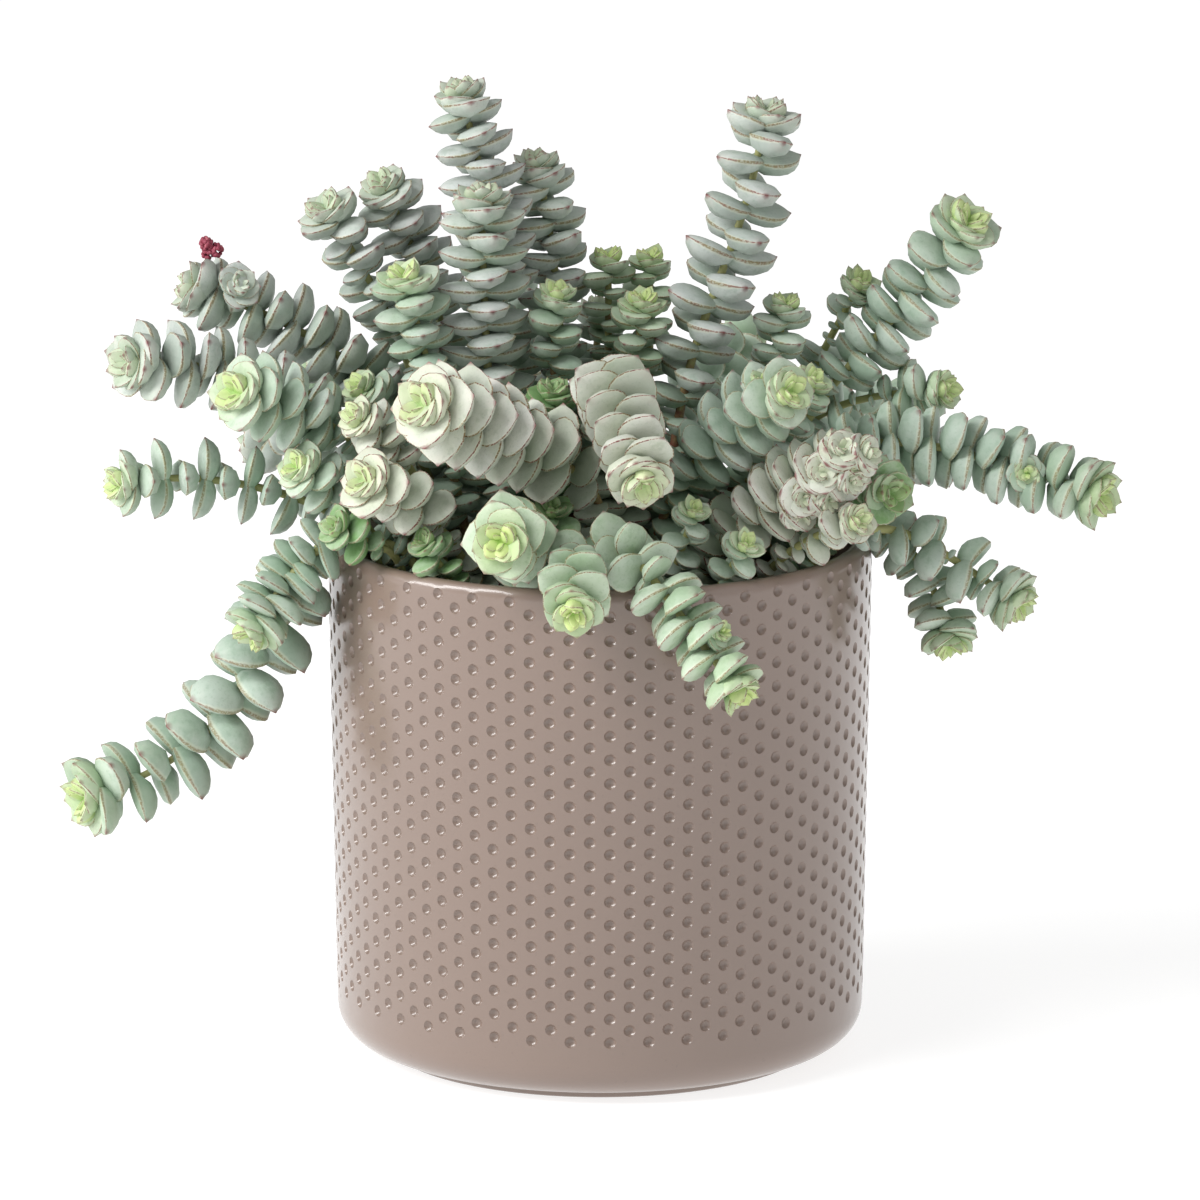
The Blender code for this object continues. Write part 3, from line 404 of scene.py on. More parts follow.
# Studio: the photograph's width in pixels, how far above the pot's foot its middle looks, and the
# lights, each with its place, size and roll in degrees
VIEW_WIDTH = 1200
VIEW_LIFT = 438
FILM_WIDTH = 36.0
VIEW_REACH = 50.0
KEY_LIGHT = ((-1.55, -0.8, 1.2), (2.4, 0.6), 45)
FILL_LIGHT = ((1.1, -0.9, 0.7), (1.2, 1.2), 0)
FILL_SHARE = 0.04
LIGHTS_AIM = Vector((0.0, 0.0, 0.12))
BACKDROP = 1.05
FLOOR_SIZE = 12.0


def linear(red, green, blue):
    """A colour as it is seen, from 0 to 255, as linear light."""
    return tuple(((part / 255 + 0.055) / 1.055) ** 2.4 for part in (red, green, blue))


def colour_property(name, description, seen):
    return FloatVectorProperty(name=name, description=description, subtype="COLOR", size=3,
                               min=0.0, max=1.0, default=linear(*seen))


class PotSettings(PropertyGroup):
    columns: IntProperty(name="Columns", description="Dimples in each row round the pot",
                         default=43, min=12, max=90)
    rows: IntProperty(name="Rows", description="Rows of dimples", default=38, min=2, max=60)
    dimple_radius: FloatProperty(name="Dimple radius", description="Half the width of a dimple",
                                 default=0.00145, unit="LENGTH")
    dimple_depth: FloatProperty(name="Dimple depth", description="How deep a dimple is pressed",
                                default=0.0008, unit="LENGTH")
    glaze: colour_property("Glaze", "Colour of the glazed wall", (131, 112, 101))
    # Painted shade: a darker colour laid into the dimples, more towards their middles
    dimple_painted_shade: colour_property("Pooled glaze", "Colour in the dimples", (96, 81, 72))


class SoilSettings(PropertyGroup):
    crumbs: IntProperty(name="Crumbs", description="Loose crumbs on the bed", default=420, min=0)
    dark: colour_property("Dark", "Colour of damp soil", (40, 30, 24))
    light: colour_property("Light", "Colour of dry crumbs", (92, 72, 56))


class LeafSettings(PropertyGroup):
    thickness: FloatProperty(name="Thickness", description="A leaf's thickness for its length",
                             default=LEAF_THICKNESS, min=0.1, max=0.6)
    grey: colour_property("Grey", "Tall stems with a lilac bloom", (184, 193, 186))
    mint: colour_property("Mint", "Most of the stems", (175, 194, 177))
    cream: colour_property("Cream", "Dense pale stems", (205, 208, 194))
    lime: colour_property("Lime", "Fresh stems at the front", (176, 197, 168))
    green: colour_property("Green", "Small strong green stems", (116, 156, 98))
    fresh: colour_property("Fresh", "Green of a leaf's foot, where the bloom is thin",
                           (138, 166, 130))
    lilac: colour_property("Lilac", "Cool cast of the bloom", (184, 184, 190))
    flush: colour_property("Flush", "Faint pink towards a leaf's tip", (198, 158, 152))
    young: colour_property("Young", "Tips of the growing leaves in a rosette", (198, 216, 142))
    heart: colour_property("Heart", "Feet of the growing leaves in a rosette", (150, 186, 90))
    # Painted shade: the deeper green laid on leaves deep inside the plant, partly the thinner bloom
    # of shaded leaves
    shade: colour_property("Shade", "Old leaves inside the plant", (96, 128, 90))
    margin: colour_property("Margin", "Fine line along a leaf's edge", (136, 126, 78))
    blush: colour_property("Blush", "Reddening at a leaf's tip", (120, 50, 56))
    rim: colour_property("Rim", "Pale rim inside the margin", (222, 224, 202))
    stalk: colour_property("Stalk", "Young stem", (158, 158, 104))
    wood: colour_property("Wood", "Old stem", (112, 66, 50))


class BudSettings(PropertyGroup):
    granules: IntProperty(name="Granules", description="Small buds in the head", default=90, min=8)
    crimson: colour_property("Crimson", "Colour of the closed buds", (144, 58, 76))
    pink: colour_property("Pink", "Colour of the opening buds", (192, 116, 124))


class StudioSettings(PropertyGroup):
    elevation: FloatProperty(name="Elevation", description="How far the camera looks down",
                             default=math.radians(13.0), subtype="ANGLE")
    distance: FloatProperty(name="Distance", description="From the camera to the pot's axis",
                            default=2.3, unit="LENGTH")
    pixel: FloatProperty(name="Pixel", default=0.0002416, precision=7,
                         description="Metres that one of 1200 pixels spans at the pot")
    key_power: FloatProperty(name="Key power", description="Power of the upper left light in watts",
                             default=52.0, min=0.0)
    sky: FloatProperty(name="Sky", description="Strength of the light from all round", default=0.38)


class Field:
    """A value or colour somewhere on a surface. Arithmetic on it adds Math nodes."""

    def __init__(self, finish, socket):
        self.finish = finish
        self.socket = socket

    def _maths(self, operation, first, second):
        return self.finish.node("ShaderNodeMath", {"operation": operation}, {0: first, 1: second})

    def __add__(self, other):
        return self._maths("ADD", self, other)

    def __sub__(self, other):
        return self._maths("SUBTRACT", self, other)

    def __rsub__(self, other):
        return self._maths("SUBTRACT", other, self)

    def __mul__(self, other):
        return self._maths("MULTIPLY", self, other)

    __radd__ = __add__
    __rmul__ = __mul__


class Finish:
    """A material and the ways to add to it."""

    def __init__(self, name):
        self.material = bpy.data.materials.new(name)
        self.material.use_nodes = True
        self.tree = self.material.node_tree
        self.shader = self.tree.nodes["Principled BSDF"]

    def node(self, kind, settings=None, values=None, out=0):
        """Adds a node, sets it up, gives its sockets values or links, and returns one output."""
        made = self.tree.nodes.new(kind)
        for name, setting in (settings or {}).items():
            setattr(made, name, setting)
        for socket, value in (values or {}).items():
            self._give(made.inputs[socket], value)
        return Field(self, made.outputs[out])

    def _give(self, socket, value):
        if isinstance(value, Field):
            self.tree.links.new(value.socket, socket)
        elif socket.type == "RGBA":
            socket.default_value = (*value, 1.0)
        else:
            socket.default_value = value

    def set(self, **values):
        """Gives the surface shader's sockets values or links, named with underscores for spaces."""
        for name, value in values.items():
            self._give(self.shader.inputs[name.replace("_", " ")], value)

    def attribute(self, name):
        return self.node("ShaderNodeAttribute", {"attribute_name": name}, out="Fac")

    def noise(self, scale, detail=2.0, roughness=0.5):
        """A cloudy pattern that is fixed to the piece."""
        place = self.node("ShaderNodeTexCoord", out="Object")
        return self.node("ShaderNodeTexNoise", values={"Vector": place, "Scale": scale,
                                                       "Detail": detail, "Roughness": roughness})

    def ramp(self, value, low, high, from_value=0.0, to_value=1.0):
        """A soft step of a value from low to high."""
        return self.node("ShaderNodeMapRange", {"interpolation_type": "SMOOTHSTEP"},
                         {"Value": value, "From Min": low, "From Max": high,
                          "To Min": from_value, "To Max": to_value})

    def blend(self, first, second, share):
        """Mixes two colours."""
        return self.node("ShaderNodeMix", {"data_type": "RGBA"}, {0: share, 6: first, 7: second},
                         out=2)

    def layered(self, colour, *layers):
        """A colour with others laid over it in turn, each by its own share."""
        for layer, share in layers:
            colour = self.blend(colour, layer, share)
        return colour

    def relief(self, height, distance, strength=1.0):
        bump = self.node("ShaderNodeBump", values={"Height": height, "Distance": distance,
                                                   "Strength": strength})
        self.set(Normal=bump)


def glaze_finish(settings):
    """A taupe glaze that drifts a little in tone, with painted shade laid darker into the dimples.
    """
    finish = Finish("taupe_glaze")
    hollow = finish.attribute("hollow")
    drift = finish.noise(14.0, 3.0)
    fleck = finish.noise(900.0, 2.0, 0.6)
    lighter = tuple(min(1.0, part * 1.10) for part in settings.glaze)
    darker = tuple(part * 0.62 for part in settings.glaze)
    # Painted shade: the dimples darkened by how deep each point lies in one
    colour = finish.layered(settings.glaze,
                            (settings.dimple_painted_shade, finish.ramp(hollow, 0.4, 1.0) * 0.35),
                            (lighter, finish.ramp(drift, 0.45, 0.75) * 0.35),
                            (darker, finish.ramp(fleck, 0.62, 0.8) * 0.25))
    finish.set(Base_Color=colour, Roughness=0.36 + finish.ramp(drift, 0.3, 0.7) * 0.06,
               Coat_Weight=0.9, Coat_Roughness=0.18, Specular_IOR_Level=0.5)
    finish.relief(finish.noise(260.0, 2.0), 0.00006, 0.5)
    return finish.material


def soil_finish(settings):
    finish = Finish("damp_soil")
    coarse = finish.noise(420.0, 6.0, 0.7)
    fine = finish.noise(1700.0, 4.0, 0.7)
    share = finish.ramp(coarse + fine * 0.35, 0.62, 0.92)
    finish.set(Base_Color=finish.blend(settings.dark, settings.light, share),
               Roughness=0.86 + fine * 0.12, Specular_IOR_Level=0.25)
    finish.relief(coarse + fine * 0.5, 0.0007)
    return finish.material


def bud_finish(settings):
    finish = Finish("crimson_bud")
    patch = finish.noise(700.0, 2.0)
    colour = finish.blend(settings.crimson, settings.pink, finish.ramp(patch, 0.52, 0.72) * 0.7)
    finish.set(Base_Color=colour, Roughness=0.42 + patch * 0.15, Specular_IOR_Level=0.4)
    finish.relief(finish.noise(2600.0, 2.0), 0.0001)
    return finish.material


def leaf_finish(name, skin, settings, line_strength, pinkness, liminess):
    """A waxy leaf: bloomed, greener at its foot, limier when young, with a fine line on its edge;
    painted shade darkens its underside and the leaves deep inside the plant.
    """
    finish = Finish(name)
    ramp = finish.ramp
    # shade is the share of painted shade, by how deep inside the plant a point lies
    edge, tip, young, shade, tone, stalk, upper = (
        finish.attribute(key)
        for key in ("edge", "tip", "young", "shade", "tone", "stalk", "upper"))
    patch = finish.noise(260.0, 4.0, 0.62)
    dots = finish.noise(2300.0, 1.0)
    broad = finish.noise(40.0, 2.0)
    pits = finish.noise(1500.0, 1.0)

    bloom = tuple(part + (1.0 - part) * 0.34 for part in skin)
    # deep is a darker skin, laid on for random tone, pores and young leaves, and as painted shade
    # under each leaf
    deep = tuple(part * dark for part, dark in zip(skin, (0.56, 0.66, 0.57)))
    growing = finish.blend(settings.heart, settings.young, ramp(tip, 0.15, 0.75))
    flush = ramp(tip, 0.72, 1.0) * ramp(patch, 0.35, 0.65) * (1.0 - shade)
    rim_band = ramp(edge, 0.55, 0.84) * (1.0 - shade * 0.6)
    line = ramp(edge, 0.74, 0.88) * ramp(dots, 0.34, 0.56, 0.35, 1.0)
    red = ramp(patch, 0.46, 0.60) * 0.6 + ramp(tip, 0.66, 0.92)
    margin = finish.blend(settings.margin, settings.blush,
                          red * (0.35 + 0.6 * pinkness) + 0.7 * pinkness ** 3)
    point = ramp(tip, 0.945, 1.0) * (1.0 - young * liminess * 0.6)
    bark = finish.blend(settings.stalk, settings.wood, ramp(patch + shade * 0.5, 0.55, 1.0))

    colour = finish.layered(
        skin,
        (settings.fresh, ramp(tip, 0.5, 0.0) * 0.34),
        (bloom, ramp(patch + tone * 0.35, 0.48, 0.90) * 0.62),
        (deep, ramp(tone, 0.45, 0.0) * 0.28),
        (settings.fresh, ramp(broad, 0.48, 0.72) * 0.30),
        (settings.lilac, ramp(broad, 0.50, 0.30) * (0.10 + 0.22 * pinkness)),
        (deep, ramp(patch, 0.46, 0.30) * 0.30),
        (deep, ramp(pits, 0.58, 0.70) * 0.22),
        (deep, young * (0.34 * (1.0 - liminess))),
        (growing, young * liminess),
        # Painted shade: leaves deep inside the plant turned a deeper green, partly the thinner bloom
        # of shaded leaves
        (settings.shade, shade * 0.66),
        # Painted shade: the underside of each leaf made darker
        (deep, (1.0 - upper) * 0.16),
        (settings.flush, flush * (0.03 + 0.22 * pinkness)),
        (settings.rim, rim_band * (0.22 + 0.36 * line_strength)),
        (margin, line * line_strength),
        (settings.blush, point * (0.7 + 0.25 * pinkness)),
        (bark, stalk))
    finish.set(Base_Color=colour, Roughness=0.44 + patch * 0.18, Specular_IOR_Level=0.42)
    finish.relief(patch + pits * 0.4, 0.00016, 0.6)
    return finish.material


def floor_finish():
    finish = Finish("pale_floor")
    finish.set(Base_Color=(0.46, 0.46, 0.46), Roughness=0.9, Specular_IOR_Level=0.0,
               Emission_Color=(1.0, 1.0, 1.0), Emission_Strength=0.77)
    return finish.material


def deselect():
    if bpy.context.object and bpy.context.object.mode != "OBJECT":
        bpy.ops.object.mode_set(mode="OBJECT")
    bpy.ops.object.select_all(action="DESELECT")


def pick(obj):
    """Makes an object the only one selected, and active."""
    deselect()
    obj.select_set(True)
    bpy.context.view_layer.objects.active = obj


def edit(obj):
    """Opens an object in edit mode with nothing selected."""
    pick(obj)
    bpy.ops.object.mode_set(mode="EDIT")
    bpy.ops.mesh.select_mode(type="VERT")
    bpy.ops.mesh.select_all(action="DESELECT")
    return bmesh.from_edit_mesh(obj.data)


def leave_edit():
    bpy.ops.object.mode_set(mode="OBJECT")


def close_outwards():
    """Turns all faces outwards and leaves edit mode."""
    bpy.ops.mesh.select_all(action="SELECT")
    bpy.ops.mesh.normals_make_consistent(inside=False)
    leave_edit()


def select_border(obj, shape, wanted=lambda border: True):
    """Selects the open edges that a test picks out."""
    bpy.ops.mesh.select_mode(type="EDGE")
    for border in shape.edges:
        border.select = len(border.link_faces) < 2 and wanted(border)
    bmesh.update_edit_mesh(obj.data)


def on_ring(radius, turn, height):
    return radius * math.cos(turn), radius * math.sin(turn), height


def grow_rings(obj, profile):
    """Extrudes the selected edge ring by ring along a profile, and closes it across the axis."""
    for radius, height in profile:
        bpy.ops.mesh.extrude_edges_move()
        shape = bmesh.from_edit_mesh(obj.data)
        for point in shape.verts:
            if point.select:
                point.co = on_ring(radius, math.atan2(point.co.y, point.co.x), height)
        bmesh.update_edit_mesh(obj.data)
    bpy.ops.mesh.edge_face_add()


def rescale(obj, factor):
    """Scales a piece about the origin, in its mesh."""
    obj.scale = (factor,) * 3
    pick(obj)
    bpy.ops.object.transform_apply(location=False, rotation=False, scale=True)


def shifted(faces, start):
    """Faces with their corners counted from a later point."""
    return [tuple(corner + start for corner in face) for face in faces]


def tree_of(points):
    """A tree that finds the points near a place."""
    tree = kdtree.KDTree(len(points))
    for index, point in enumerate(points):
        tree.insert(point, index)
    tree.balance()
    return tree


def own_draw(use, index):
    """A stem's random draws for one use, the same in every run."""
    return random.Random(SEED * 1000 * use + index)


def select_points(obj, shape, chosen):
    """Selects the points that a test picks out."""
    for point in shape.verts:
        point.select = chosen(point.co)
    shape.select_flush_mode()
    bmesh.update_edit_mesh(obj.data)


def arrays(obj):
    """A mesh as an array of its points, in its own units, and its faces."""
    points = np.empty(len(obj.data.vertices) * 3)
    obj.data.vertices.foreach_get("co", points)
    return points.reshape(-1, 3), [tuple(face.vertices) for face in obj.data.polygons]


def discard(obj):
    mesh = obj.data
    bpy.data.objects.remove(obj)
    bpy.data.meshes.remove(mesh)


def piece_from(name, points, faces, material, attributes=None, crisp=None):
    """A finished piece from points in millimetres, smooth but for edges between crisp points."""
    mesh = bpy.data.meshes.new(name)
    mesh.from_pydata((np.asarray(points) * MM).tolist(), [], faces)
    for key, values in (attributes or {}).items():
        layer = mesh.attributes.new(key, "FLOAT", "POINT")
        layer.data.foreach_set("value", np.asarray(values, np.float32))
    mesh.materials.append(material)
    mesh.shade_smooth()
    if crisp is not None:
        ends = np.empty(len(mesh.edges) * 2, np.int32)
        mesh.edges.foreach_get("vertices", ends)
        sharp = np.asarray(crisp, bool)[ends.reshape(-1, 2)].all(axis=1)
        mesh.attributes.new("sharp_edge", "BOOLEAN", "EDGE").data.foreach_set("value", sharp)
    mesh.update()
    obj = bpy.data.objects.new(name, mesh)
    bpy.context.scene.collection.objects.link(obj)
    return obj


def put_in_place(obj, slot, *nodes):
    """Rides a finished piece on the body and lets it stand for the solids that it shows."""
    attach(obj, "root")
    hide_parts(*nodes)


def curve_through(points, step):
    """Evenly spaced points on a smooth curve through the given ones."""
    padded = [points[0] * 2 - points[1]] + list(points) + [points[-1] * 2 - points[-2]]
    fine = []
    for before, start, end, after in zip(padded, padded[1:], padded[2:], padded[3:]):
        for i in range(CURVE_STEPS):
            t = i / CURVE_STEPS
            fine.append(0.5 * (2 * start + (end - before) * t
                               + (2 * before - 5 * start + 4 * end - after) * t * t
                               + (3 * start - before - 3 * end + after) * t ** 3))
    fine.append(points[-1].copy())
    return resample(fine, step)


def lengths_along(line):
    """How far along a line each of its points lies."""
    lengths = [0.0]
    for a, b in zip(line, line[1:]):
        lengths.append(lengths[-1] + (b - a).length)
    return lengths


def resample(line, step):
    lengths = lengths_along(line)
    count = max(2, round(lengths[-1] / step))
    spaced = []
    index = 0
    for i in range(count + 1):
        along = lengths[-1] * i / count
        while index < len(line) - 2 and lengths[index + 1] < along:
            index += 1
        share = (along - lengths[index]) / max(lengths[index + 1] - lengths[index], 1e-9)
        spaced.append(line[index].lerp(line[index + 1], min(1.0, share)))
    return spaced


def off_the_wall(point):
    """Moves a point of a stem off the pot's wall the shortest way: inwards, outwards or upwards."""
    clear = CORE_RADIUS + WALL_CLEARANCE
    radius = math.hypot(point.x, point.y)
    inwards = radius - (RIM_RADIUS - WALL - clear)
    outwards = RIM_RADIUS + clear - radius
    upwards = POT_HEIGHT + clear - point.z
    if min(inwards, outwards, upwards) <= 0:
        return point
    if upwards <= min(inwards, outwards):
        return point + Vector((0, 0, upwards))
    step = outwards if outwards < inwards else -inwards
    return point + Vector((point.x, point.y, 0)).normalized() * step


def ease_apart(lines):
    """Moves stems that run too close a little apart and smooths them, their roots kept level."""
    for _ in range(EASING_ROUNDS):
        owners = [(i, j) for i, line in enumerate(lines) for j in range(len(line))]
        tree = tree_of([lines[i][j] for i, j in owners])
        moves = {}
        for i, j in owners:
            here = lines[i][j]
            needed = ROOT_CLEARANCE if here.z < SOIL_TOP + ROOT_ZONE else CORE_CLEARANCE
            for there, place, distance in tree.find_range(here, needed):
                if owners[place][0] == i:
                    continue
                away = here - there
                away.z *= UPWARD_SHARE
                if away.length < 1e-6:
                    away = Vector((1.0, 0.0, 0.0))
                push = away.normalized() * (needed - distance) * 0.5
                moves[(i, j)] = moves.get((i, j), Vector()) + push
        for (i, j), move in moves.items():
            if j == 0:
                move.z = 0.0
            lines[i][j] = lines[i][j] + move
        for line in lines:
            smoothed = [line[k].lerp((line[k - 1] + line[k + 1]) / 2, EASING_SMOOTH)
                        for k in range(1, len(line) - 1)]
            line[1:-1] = [off_the_wall(point) for point in smoothed]
    return lines


def frames_along(line):
    """A place, direction and two sides for each point, turning as little as possible."""
    frames = []
    side = None
    for k, place in enumerate(line):
        ahead = (line[min(k + 1, len(line) - 1)] - line[max(k - 1, 0)]).normalized()
        if side is None:
            side = ahead.orthogonal().normalized()
        side = (side - ahead * side.dot(ahead)).normalized()
        frames.append((place, ahead, side, ahead.cross(side)))
    return frames


def frame_at(frames, lengths, along):
    """The frame at a length along a stem, between two of its points."""
    along = max(0.0, min(along, lengths[-1]))
    k = max(i for i, length in enumerate(lengths[:-1]) if length <= along)
    share = (along - lengths[k]) / (lengths[k + 1] - lengths[k])
    return tuple(a.lerp(b, share) if n == 0 else a.lerp(b, share).normalized()
                 for n, (a, b) in enumerate(zip(frames[k], frames[k + 1])))


def roll_to_front(stem, frames, lengths, draw):
    """The turn about a stem that sets its pairs at its angle to the view from the front."""
    _, _, side, other = frame_at(frames, lengths, lengths[-1] - stem.leafy / 2)
    to_front = math.atan2(-other.y, -side.y)
    return to_front + math.radians(stem.facing + draw.uniform(-FACING_SPREAD, FACING_SPREAD))


def tip_pairs(stem):
    return SMALL_TIP_PAIRS if stem.reach < SMALL_TIP_REACH else TIP_PAIRS


def stem_pairs(stem, length, draw):
    """The pairs of a stem from the lowest to the small cupped ones at its tip."""
    tip_length = sum(step for _, _, step in tip_pairs(stem))
    leafy_end = length - tip_length
    count = max(1, round(stem.leafy / stem.spacing))
    pairs = []
    turned_pair = draw.random() < 0.5
    for i in range(count):
        share = i / count
        along = leafy_end - stem.spacing * (count - 1 - i)
        swell = LOW_REACH + FULL_REACH * math.sin(math.pi * (SWELL_START + SWELL_SPAN * share))
        reach = stem.reach * swell * draw.uniform(*REACH_SPREAD)
        pairs.append(Pair(along, reach, draw.uniform(*RISE_SPREAD), turned_pair))
        turned_pair = not turned_pair
    along = leafy_end
    for scale, rise, step in tip_pairs(stem):
        along += step
        pairs.append(Pair(along, stem.reach * scale, rise, turned_pair))
        turned_pair = not turned_pair
    return pairs


def stem_lines():
    """The middle line of every stem, eased apart, with its buried end straight down in its hole."""
    lines = ease_apart([curve_through([Vector(point) for point in stem.route], ROUTE_STEP)
                        for stem in STEMS])
    finished = []
    for line in lines:
        foot = Vector((line[0].x, line[0].y, SOIL_TOP - HOLE_DEPTH + GAP))
        soil_level = Vector((line[0].x, line[0].y, SOIL_TOP + STRAIGHT_ABOVE_SOIL))
        finished.append([foot, soil_level] + line[1:])
    return finished


class Route:
    """A stem's middle line with its frames, turned about its length by the stem's own draw."""

    def __init__(self, stem, line, draw):
        self.frames = frames_along(line)
        self.lengths = lengths_along(line)
        self.roll = roll_to_front(stem, self.frames, self.lengths, draw)

    def at(self, along):
        """The place, the direction and the two leaf directions at a length."""
        centre, ahead, side, other = frame_at(self.frames, self.lengths, along)
        turn = Matrix.Rotation(self.roll, 3, ahead)
        return centre, ahead, turn @ side, turn @ other


def fitted_pairs(stem, route, pairs):
    """Each pair with the reach that it has in the solid, found by where its tip lies."""
    solid = frame["nodes"][stem.name].data
    corners = tree_of([corner.co / MM for corner in solid.vertices])
    fitted = []
    for index, pair in enumerate(pairs):
        centre, ahead, side, other = route.at(pair.along)
        direction = other if pair.turned else side
        for step in range(FITTING_ROUNDS + 1):
            reach = pair.reach * SHRINK ** step
            tip = centre + direction * reach + ahead * reach * pair.rise
            if corners.find(tip)[2] < TIP_TOLERANCE:
                fitted.append((index, pair._replace(reach=reach)))
                break
    return fitted


def shade_at(place):
    """How deep inside the plant a place is, from 0 outside to 1 at its heart: the share of painted
    shade there.
    """
    apart = place - HEART_OF_MOUND
    apart.z *= HEART_FLATNESS
    return min(1.0, max(0.0, 1.0 - (apart.length - HEART_RADIUS) / LIT_DEPTH))


def leaves_of_pair(stem, route, pair, draw, shape, thick, young, swing=0.0):
    """The two leaves of a pair, swung round the stem, each with its own small differences."""
    centre, ahead, side, other = route.at(pair.along)
    width = {"cupped": TIP_WIDTH, "fleshy": HEART_WIDTH}.get(shape, stem.width + LEAF_ROUNDING)
    made = []
    for sign in (1.0, -1.0):
        direction = (other if pair.turned else side) * sign
        twist = swing + draw.uniform(-LEAF_TWIST, LEAF_TWIST)
        direction = Matrix.Rotation(twist, 3, ahead) @ direction
        own_ahead = Matrix.Rotation(draw.uniform(-LEAF_ROLL, LEAF_ROLL), 3, direction) @ ahead
        tip = centre + direction * pair.reach
        made.append(Leaf(
            shape, centre, direction, own_ahead, pair.reach * draw.uniform(*EXTRA_REACH),
            pair.rise + draw.uniform(*EXTRA_RISE), width * draw.uniform(*WIDTH_SPREAD),
            thick * draw.uniform(*THICKNESS_SPREAD), young, shade_at(tip)))
    return made


def stem_leaves(stem, route, pairs, draw, thickness):
    """All leaves of a stem but those that fill in below, from the pairs that its solid has."""
    tip_count = len(tip_pairs(stem))
    first_tip = len(pairs) - tip_count
    shape = "broad" if stem.width == BROAD else "oval"
    leaves = []
    previous = None
    for index, pair in fitted_pairs(stem, route, pairs):
        if index < first_tip:
            near_tip = max(0.0, 1.0 - (first_tip - index) / PAIRS_BELOW_ROSETTE)
            thick = min(pair.reach * thickness, stem.spacing * SPACED_THICKNESS)
            leaves += leaves_of_pair(stem, route, pair, draw, shape, thick,
                                     YOUNG_BELOW_ROSETTE * near_tip)
            previous = None
            continue
        rank = (index - first_tip) / tip_count
        if previous:
            between = Pair((previous.along + pair.along) / 2, (previous.reach + pair.reach) / 2,
                           (previous.rise + pair.rise) / 2, pair.turned)
            leaves += leaves_of_pair(stem, route, between, draw, "cupped",
                                     between.reach * TIP_THICKNESS,
                                     YOUNG_BETWEEN[0] + YOUNG_BETWEEN[1] * rank, BETWEEN_SWING)
        leaves += leaves_of_pair(stem, route, pair, draw, "cupped", pair.reach * TIP_THICKNESS,
                                 YOUNG_IN_ROSETTE[0] + YOUNG_IN_ROSETTE[1] * rank)
        previous = pair
    along = pairs[-1].along
    turned_pair = not pairs[-1].turned
    for share, rise, step, swing in HEART_PAIRS:
        along += step
        heart = Pair(along, stem.reach * share, rise, turned_pair)
        thick = heart.reach * HEART_THICKNESS
        leaves += leaves_of_pair(stem, route, heart, draw, "fleshy", thick, 1.0, swing)
        turned_pair = not turned_pair
    return leaves


def side_rosettes(stem, route, draw):
    """The small rosettes that grow on the side of a stem, and the stalk that each stands on."""
    leaves = []
    stalks = []
    for rosette in SIDE_ROSETTES:
        if rosette.stem != stem.name:
            continue
        start = route.at(route.lengths[-1] - rosette.below)[0]
        ahead = Vector(rosette.looks).normalized()
        seat = start + ahead * rosette.stalk
        stalks.append((start, seat))
        side = ahead.orthogonal().normalized()
        side.rotate(Matrix.Rotation(draw.uniform(0.0, math.pi), 3, ahead))
        for share, rise, step, turn in SIDE_PAIRS:
            if rosette.limy < CREST_LIMY:
                shape, width, thickness = "fleshy", CREST_WIDTH, CREST_THICKNESS
            elif share > SIDE_CUPPED_ABOVE:
                shape, width, thickness = "cupped", TIP_WIDTH, TIP_THICKNESS
            else:
                shape, width, thickness = "fleshy", HEART_WIDTH, HEART_THICKNESS
            for opposite in (0, 180):
                direction = Matrix.Rotation(math.radians(turn + opposite), 3, ahead) @ side
                reach = rosette.reach * share * draw.uniform(*SIDE_REACH_SPREAD)
                young = (1.0 - share) * SIDE_YOUNG * rosette.limy
                leaves.append(Leaf(shape, seat + ahead * step, direction, ahead, reach, rise, width,
                                   reach * thickness, young, shade_at(seat)))
    return leaves, stalks


